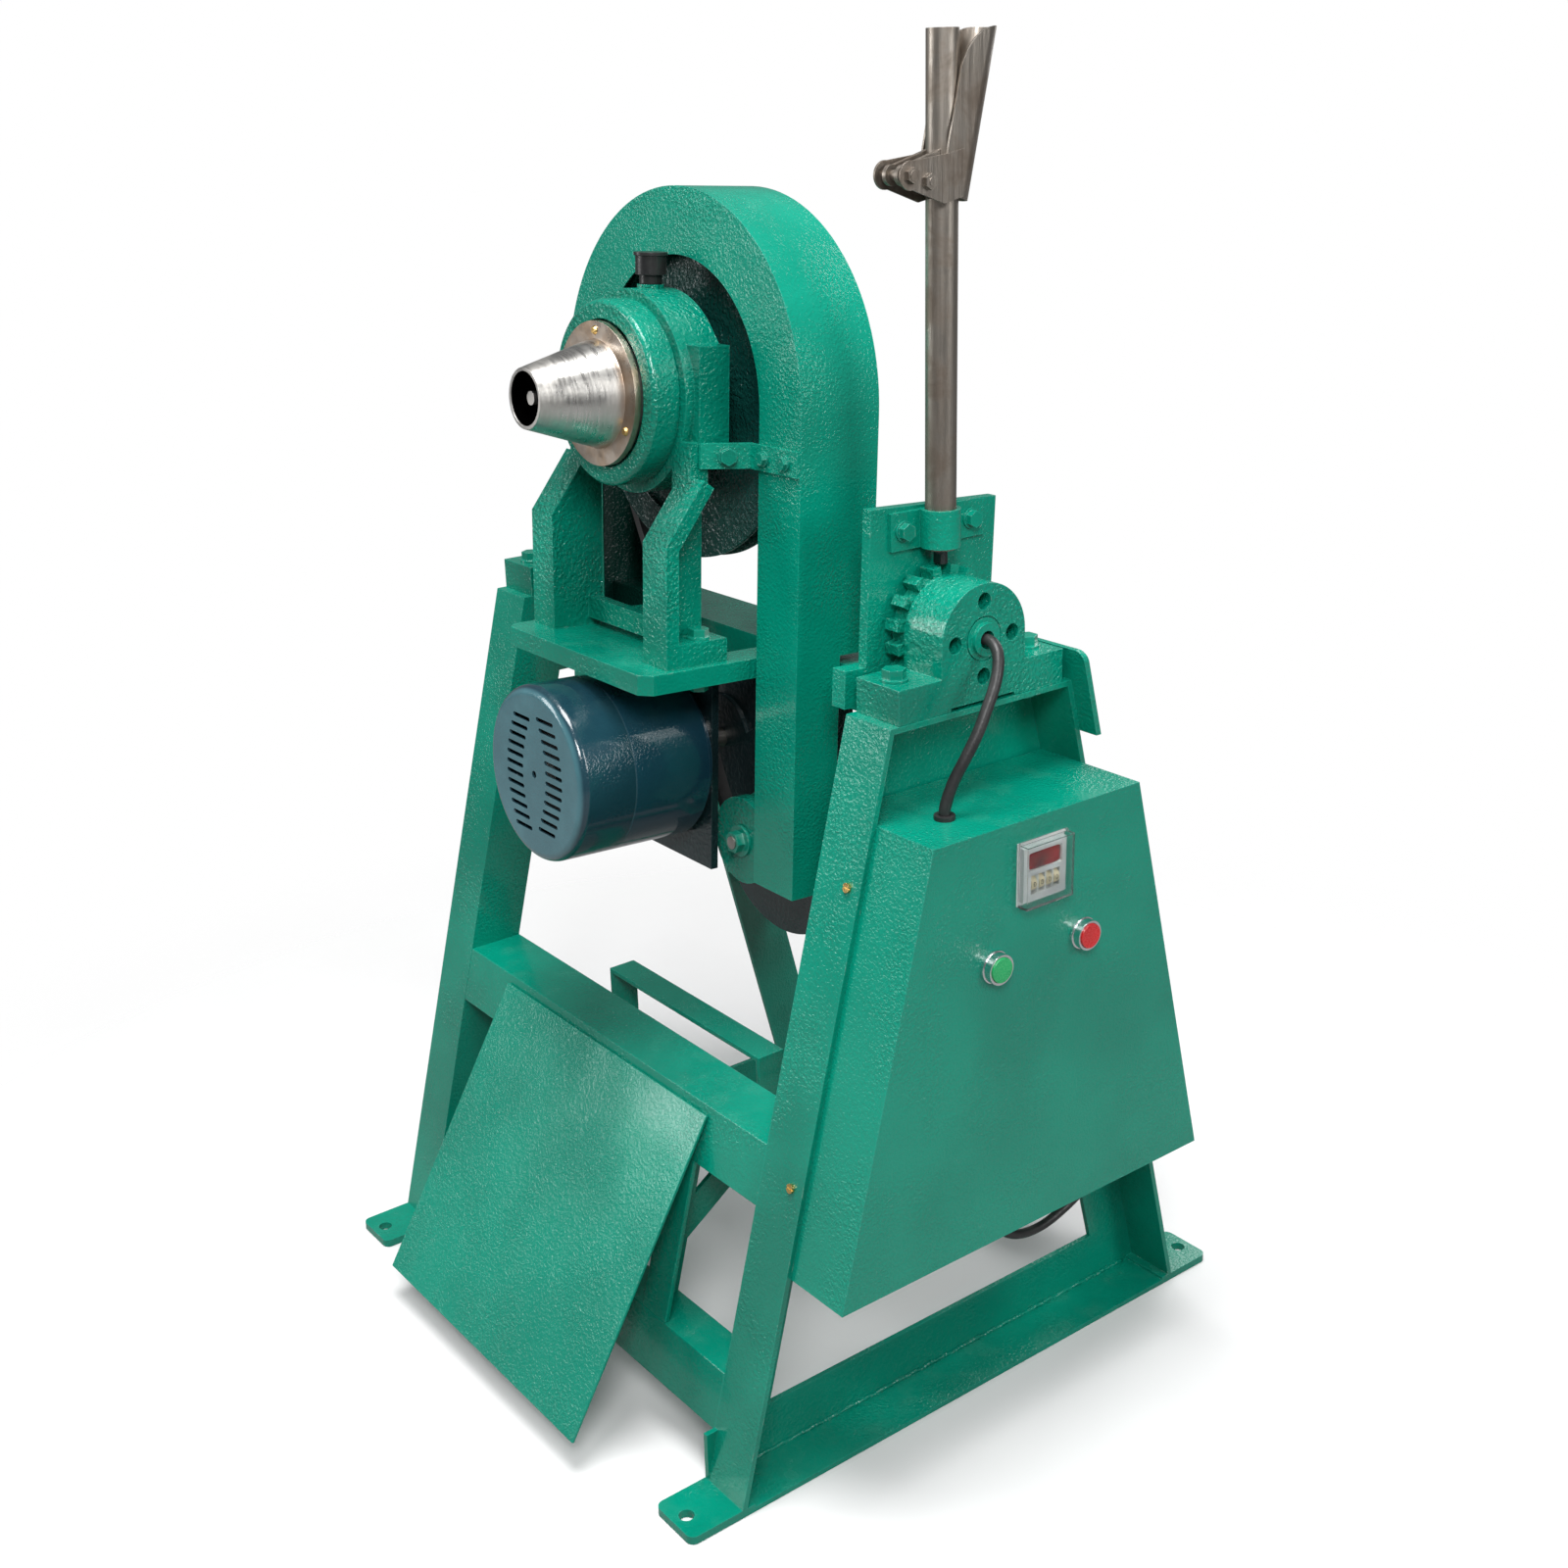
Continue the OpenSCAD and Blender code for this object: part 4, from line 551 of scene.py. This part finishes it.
# The finish for each material slot of the CAD pieces, and the pieces that have a finish of their own
FINISH_OF_SLOT = {
    "green_enamel": "iron_enamel", "green_casting": "cast_enamel", "motor_enamel": "motor_enamel",
    "dark_enamel": "dark_enamel", "machined_steel": "oiled_steel", "bare_steel": "bare_steel",
    "black_steel": "black_steel", "brass": "brass", "black_plastic": "black_plastic", "rubber": "rubber",
    "chrome": "chrome", "green_plastic": "green_plastic", "red_plastic": "red_plastic",
    "clear_plastic": "clear_cover", "ivory_plastic": "ivory_plastic"}
OWN_FINISH = {
    "chute_plate": "sheet_enamel", "belt_guard": "guard_enamel", "large_pulley": "shaded_dark_casting",
    "head_bolts": "bolt_enamel", "block_bolts": "bolt_enamel", "pulley_nut": "bolt_enamel",
    "control_box": "sheet_enamel", "box_back_plate": "sheet_enamel", "rear_stop_plate": "sheet_enamel",
    "strap_stay": "sheet_enamel", "guard_straps": "sheet_enamel", "taper_nose": "nose_steel",
    "bearing_cover": "cast_enamel", "timer_case": "white_plastic", "fan_cover": "fan_enamel"}


# ---------- rounded edges on the CAD pieces ----------

def make_smooth_by_angle():
    """Geometry nodes: every face smooth, and every edge above SHARP_ANGLE sharp."""
    tree = bpy.data.node_groups.new("smooth_by_angle", "GeometryNodeTree")
    tree.interface.new_socket("Geometry", in_out="INPUT", socket_type="NodeSocketGeometry")
    tree.interface.new_socket("Geometry", in_out="OUTPUT", socket_type="NodeSocketGeometry")
    into, out = tree.nodes.new("NodeGroupInput"), tree.nodes.new("NodeGroupOutput")
    faces = tree.nodes.new("GeometryNodeSetShadeSmooth")
    faces.domain = "FACE"
    faces.inputs["Shade Smooth"].default_value = True
    edges = tree.nodes.new("GeometryNodeSetShadeSmooth")
    edges.domain = "EDGE"
    edges.inputs["Shade Smooth"].default_value = False
    angle = tree.nodes.new("GeometryNodeInputMeshEdgeAngle")
    above = tree.nodes.new("ShaderNodeMath")
    above.operation = "GREATER_THAN"
    above.inputs[1].default_value = SHARP_ANGLE
    tree.links.new(angle.outputs["Unsigned Angle"], above.inputs[0])
    tree.links.new(above.outputs[0], edges.inputs["Selection"])
    tree.links.new(into.outputs[0], faces.inputs["Geometry"])
    tree.links.new(faces.outputs[0], edges.inputs["Geometry"])
    tree.links.new(edges.outputs[0], out.inputs[0])
    return tree


SMOOTH = make_smooth_by_angle()
MERGE_WITHIN, FLAT_ANGLE = 0.00001, math.radians(0.5)
ROUND_WIRE = "latch_spring"
CAD_CABLES = ("head_lead", "supply_loop")
# Widths of the rounded edges in millimetres; a piece that isn't listed has PLAIN_EDGE
PLAIN_EDGE = 0.35
EDGE_ROUND = {
    "side_frame_right": 1.1, "side_frame_left": 1.1, "crossbars": 1.1, "front_lower_bar": 1.1, "posts": 1.1,
    "strap_stay": 0.7, "chute_plate": 0.8, "pillow_block_right": 1.8, "pillow_block_left": 1.8,
    "index_wheel": 1.2, "block_bolts": 0.6, "head_base": 1.4, "lever_cheek": 1.2, "plain_cheek": 1.2,
    "belt_guard": 0.7, "guard_straps": 0.6, "bearing_pedestal": 1.8, "head_bolts": 0.6, "bearing_cover": 1.4,
    "taper_nose": 0.5, "control_box": 0.8, "lever_clamp": 0.7, "grip_channel": 0.4, "lever_tube": 0.4,
    "motor_plate": 0.8, "gear_case": 0.9, "pulley_nut": 0.6, "small_pulley": 0.6, "large_pulley": 0.9}


def round_edges(node, thing):
    """Merges a CAD piece's triangles, joins flat ones, rounds its edges and weights its normals. Round wire
    has no edges to round."""
    thing.modifiers.new("merge", "WELD").merge_threshold = MERGE_WITHIN
    if node != ROUND_WIRE:
        flat = thing.modifiers.new("join_flats", "DECIMATE")
        flat.decimate_type, flat.angle_limit = "DISSOLVE", FLAT_ANGLE
        rounding = thing.modifiers.new("round_edges", "BEVEL")
        rounding.width = EDGE_ROUND.get(node, PLAIN_EDGE) / 1000
        rounding.segments = 2
        rounding.limit_method, rounding.angle_limit = "ANGLE", SHARP_ANGLE
    shade = thing.modifiers.new("smooth", "NODES")
    shade.node_group = SMOOTH
    weighted = thing.modifiers.new("weighted", "WEIGHTED_NORMAL")
    weighted.keep_sharp = True


for node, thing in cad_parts.items():
    if not thing.material_slots:
        thing.data.materials.append(None)
    for slot in thing.material_slots:
        old = (slot.material.name if slot.material else "").split(".")[0]
        slot.material = finishes[OWN_FINISH.get(node) or FINISH_OF_SLOT.get(old, "iron_enamel")]
    if node not in CAD_CABLES:
        round_edges(node, thing)


def dress(thing, body, finish):
    """A new piece rides on its body and takes its finish."""
    thing.data.materials.append(finishes[finish])
    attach(thing, body)
    return thing


for cable in (lead, loop):
    cable.data.materials.append(finishes["rubber"])


# ---------- weld beads ----------

RIPPLE_PITCH, BEAD_STEP, BEAD_SIDES = 0.004, 0.0011, 10


def weld_bead(name, start, end, radius):
    """A bead on the stand: a tube whose radius ripples by |sin| once a pitch and thins out at its two ends,
    on a line that wavers by a part of a millimetre."""
    start, end = np.array(start, float), np.array(end, float)
    steps = max(12, int(np.linalg.norm(end - start) / BEAD_STEP))
    t = np.linspace(0, 1, steps)
    line = start + (end - start) * t[:, None]
    run = t * np.linalg.norm(end - start)
    wobble = 0.0004 * np.sin(run * 310) + 0.0003 * np.sin(run * 127 + 1.3)
    line[:, 2] += wobble
    line[:, 1] += 0.6 * wobble
    ripple = 0.16 * np.abs(np.sin(np.pi * run / RIPPLE_PITCH)) - 0.1 + 0.08 * np.sin(run * 210)
    taper = np.clip(np.minimum(t, 1 - t) * steps / 6, 0.25, 1)
    bead = tube(name, line, radius * taper, BEAD_SIDES, ripple)
    dress(bead, "stand", "cast_enamel")


def box_of(node):
    """A CAD piece's lowest and highest corners as arrays."""
    lo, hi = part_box(node)
    return np.array(lo), np.array(hi)


INNER_FACE = box_of("side_frame_right")[0][0]
CAP_TOP = 0.689
RAIL_BEAD_R, CAP_BEAD_R = 0.0024, 0.0026
RAIL_HALF, CAP_HALF = 0.262, 0.088
RAIL_INSET, CAP_INSET = 0.0055, 0.0058
for side, tag in ((1, "right"), (-1, "left")):
    rail_x, cap_x = side * (INNER_FACE + RAIL_INSET), side * (INNER_FACE + CAP_INSET)
    rail_z, cap_z = CAP_INSET, CAP_TOP - CAP_INSET
    weld_bead(f"rail_weld_{tag}", (rail_x, -RAIL_HALF, rail_z), (rail_x, RAIL_HALF, rail_z), RAIL_BEAD_R)
    weld_bead(f"cap_weld_{tag}", (cap_x, -CAP_HALF, cap_z), (cap_x, CAP_HALF, cap_z), CAP_BEAD_R)


# ---------- timer display ----------

PANEL_BACK = 0.0006


def rounded_panel(name, x, y0, y1, z0, z1, rise, corner):
    """A lens: a grid over the unit disc squared off to a rounded rectangle, raised by (1 - u^4)(1 - v^4).
    The rim is the cosine and sine of the angle, each to the power 2 / corner."""
    rings, around = 10, 48
    a = np.linspace(0, 2 * np.pi, around, endpoint=False)
    power = 2 / corner
    cu = np.sign(np.cos(a)) * np.abs(np.cos(a)) ** power
    cv = np.sign(np.sin(a)) * np.abs(np.sin(a)) ** power
    s = np.linspace(1, 0.02, rings)[:, None]
    u, v = s * cu, s * cv
    face = np.stack([x + rise * (1 - u ** 4) * (1 - v ** 4), (y0 + y1) / 2 + u * (y1 - y0) / 2,
                     (z0 + z1) / 2 + v * (z1 - z0) / 2], -1)
    back = face[:1].copy()
    back[..., 0] = x - PANEL_BACK
    points = np.concatenate([back, face]).reshape(-1, 3)
    middle_back = [[x - PANEL_BACK, (y0 + y1) / 2, (z0 + z1) / 2]]
    middle = [[x + rise, (y0 + y1) / 2, (z0 + z1) / 2]]
    faces = closed_faces(rings + 1, around)
    return add_mesh(name, np.vstack([points, middle_back, middle]), faces)


TIMER_Z, WINDOW_HALF, WINDOW_LOW, WINDOW_HIGH = 0.563, 0.0185, 0.0035, 0.0185
WINDOW_SUNK, WINDOW_RISE, WINDOW_CORNER = 0.0012, 0.0004, 7.0
CASE_FACE = box_of("timer_case")[1][0]
window = rounded_panel("timer_window", CASE_FACE - WINDOW_SUNK, -WINDOW_HALF, WINDOW_HALF,
                       TIMER_Z + WINDOW_LOW, TIMER_Z + WINDOW_HIGH, WINDOW_RISE, WINDOW_CORNER)
dress(window, "stand", "red_window")
FIGURE_HEIGHT, FIGURE_THICK, FIGURE_OFF_RIM = 0.0062, 0.00015, 0.0001


def flat_text(name, words, size):
    """Figures as a flat mesh in the plane z = 0, centred on the origin."""
    curve = bpy.data.curves.new(name, "FONT")
    curve.body, curve.size = words, size
    curve.align_x, curve.align_y = "CENTER", "CENTER"
    thing = bpy.data.objects.new(name, curve)
    bpy.context.scene.collection.objects.link(thing)
    bpy.context.view_layer.update()
    mesh = bpy.data.meshes.new_from_object(thing.evaluated_get(bpy.context.evaluated_depsgraph_get()))
    bpy.data.objects.remove(thing)
    return mesh


def figure_on_wheel(i):
    """One digit on the face of a thumbwheel, bent round its rim: angle = height / radius."""
    lo, hi = box_of(f"thumbwheel_{i}")
    centre = (lo + hi) / 2
    radius = (hi[2] - lo[2]) / 2
    mesh = flat_text(f"wheel_figure_{i}", "0", FIGURE_HEIGHT)
    flat = np.empty(len(mesh.vertices) * 3)
    mesh.vertices.foreach_get("co", flat)
    flat = flat.reshape(-1, 3)
    turn = flat[:, 1] / radius
    rim = radius + FIGURE_OFF_RIM
    place = np.stack([centre[0] + rim * np.cos(turn), centre[1] + flat[:, 0],
                      centre[2] + rim * np.sin(turn)], -1)
    mesh.vertices.foreach_set("co", place.ravel())
    thing = bpy.data.objects.new(f"wheel_figure_{i}", mesh)
    bpy.context.scene.collection.objects.link(thing)
    thick = thing.modifiers.new("thickness", "SOLIDIFY")
    thick.thickness, thick.offset = FIGURE_THICK, 0.0
    dress(thing, f"wheel_{i}", "black_plastic")


for i in (1, 2, 3, 4):
    figure_on_wheel(i)


# ---------- surroundings ----------

FLOOR_HALF, FLOOR_LINES, FLOOR_Z = 6, 13, -0.0006
FADE_FROM, FADE_TO = 0.55, 1.35


def make_floor():
    """Flat square floor just under the feet. It is pale to the camera and fades to clear away from the
    machine, and it throws back less light than it shows."""
    n = FLOOR_LINES
    u = np.linspace(-FLOOR_HALF, FLOOR_HALF, n)
    grid = np.stack(np.meshgrid(u, u, indexing="ij") + [np.full((n, n), FLOOR_Z)], -1).reshape(-1, 3)
    r, c = np.meshgrid(np.arange(n - 1), np.arange(n - 1), indexing="ij")
    faces = np.stack([r * n + c, (r + 1) * n + c, (r + 1) * n + c + 1, r * n + c + 1], -1).reshape(-1, 4)
    floor = add_mesh("floor", grid, faces)
    finish, tree, shader, place = new_finish("pale_floor")
    shade = ramp(tree, noise(tree, place, 3.0, 3.0), 0.3, 0.7, 0.0, 1.0)
    tone = blend_colour(tree, shade, (0.86, 0.86, 0.86), (0.83, 0.83, 0.83))
    tree.links.new(tone, shader.inputs["Base Color"])
    shader.inputs["Roughness"].default_value = 0.85
    dull = tree.nodes.new("ShaderNodeBsdfDiffuse")
    dull.inputs["Color"].default_value = (0.30, 0.30, 0.30, 1)
    seen = tree.nodes.new("ShaderNodeLightPath")
    either = tree.nodes.new("ShaderNodeMixShader")
    tree.links.new(seen.outputs["Is Camera Ray"], either.inputs[0])
    tree.links.new(dull.outputs[0], either.inputs[1])
    tree.links.new(shader.outputs[0], either.inputs[2])
    clear = tree.nodes.new("ShaderNodeBsdfTransparent")
    blended = tree.nodes.new("ShaderNodeMixShader")
    reach = tree.nodes.new("ShaderNodeVectorMath")
    reach.operation = "LENGTH"
    tree.links.new(place, reach.inputs[0])
    far = maths(tree, "MULTIPLY", ramp(tree, reach.outputs["Value"], FADE_FROM, FADE_TO),
                seen.outputs["Is Camera Ray"])
    tree.links.new(far, blended.inputs[0])
    tree.links.new(either.outputs[0], blended.inputs[1])
    tree.links.new(clear.outputs[0], blended.inputs[2])
    tree.links.new(blended.outputs[0], tree.nodes["Material Output"].inputs["Surface"])
    floor.data.materials.append(finish)


# Each softbox: name, place, point it looks at, width and height, watts
SOFT_LIGHTS = (
    ("key_light", (2.2, -1.6, 2.6), (0.1, 0, 0.7), (0.9, 0.9), 60),
    ("side_light", (3.0, 0.9, 1.9), (0.1, 0, 0.6), (0.8, 1.4), 30),
    ("top_light", (0.3, -0.5, 3.0), (0.05, 0, 0.5), (1.2, 1.2), 72),
    ("fill_light", (-2.0, -2.6, 1.6), (0, 0, 0.6), (0.9, 1.6), 32),
    ("rear_light", (-0.8, 2.8, 1.8), (0, 0, 0.6), (1.6, 1.6), 24))
ROOM_COLOUR, ROOM_STRENGTH = (0.93, 0.95, 0.97, 1), 0.17


def soft_light(name, place, target, size, watts):
    """Rectangular softbox that looks at a target."""
    lamp = bpy.data.lights.new(name, "AREA")
    lamp.shape, lamp.size, lamp.size_y, lamp.energy = "RECTANGLE", size[0], size[1], watts
    thing = bpy.data.objects.new(name, lamp)
    look = (Vector(target) - Vector(place)).to_track_quat("-Z", "Y")
    thing.matrix_world = Matrix.Translation(place) @ look.to_matrix().to_4x4()
    bpy.context.scene.collection.objects.link(thing)


def make_room():
    """Faint even light all round, with a plain white backdrop where the camera looks past the machine."""
    world = bpy.data.worlds.new("studio")
    bpy.context.scene.world = world
    world.use_nodes = True
    sky = world.node_tree
    around = sky.nodes["Background"]
    around.inputs[0].default_value = ROOM_COLOUR
    around.inputs[1].default_value = ROOM_STRENGTH
    backdrop = sky.nodes.new("ShaderNodeBackground")
    backdrop.inputs[0].default_value = (1, 1, 1, 1)
    path = sky.nodes.new("ShaderNodeLightPath")
    both = sky.nodes.new("ShaderNodeMixShader")
    sky.links.new(path.outputs["Is Camera Ray"], both.inputs[0])
    sky.links.new(around.outputs[0], both.inputs[1])
    sky.links.new(backdrop.outputs[0], both.inputs[2])
    sky.links.new(both.outputs[0], sky.nodes["World Output"].inputs["Surface"])


make_floor()
for softbox in SOFT_LIGHTS:
    soft_light(*softbox)
make_room()
bpy.context.scene.view_settings.view_transform = "Standard"
bpy.context.scene.view_settings.look = "None"
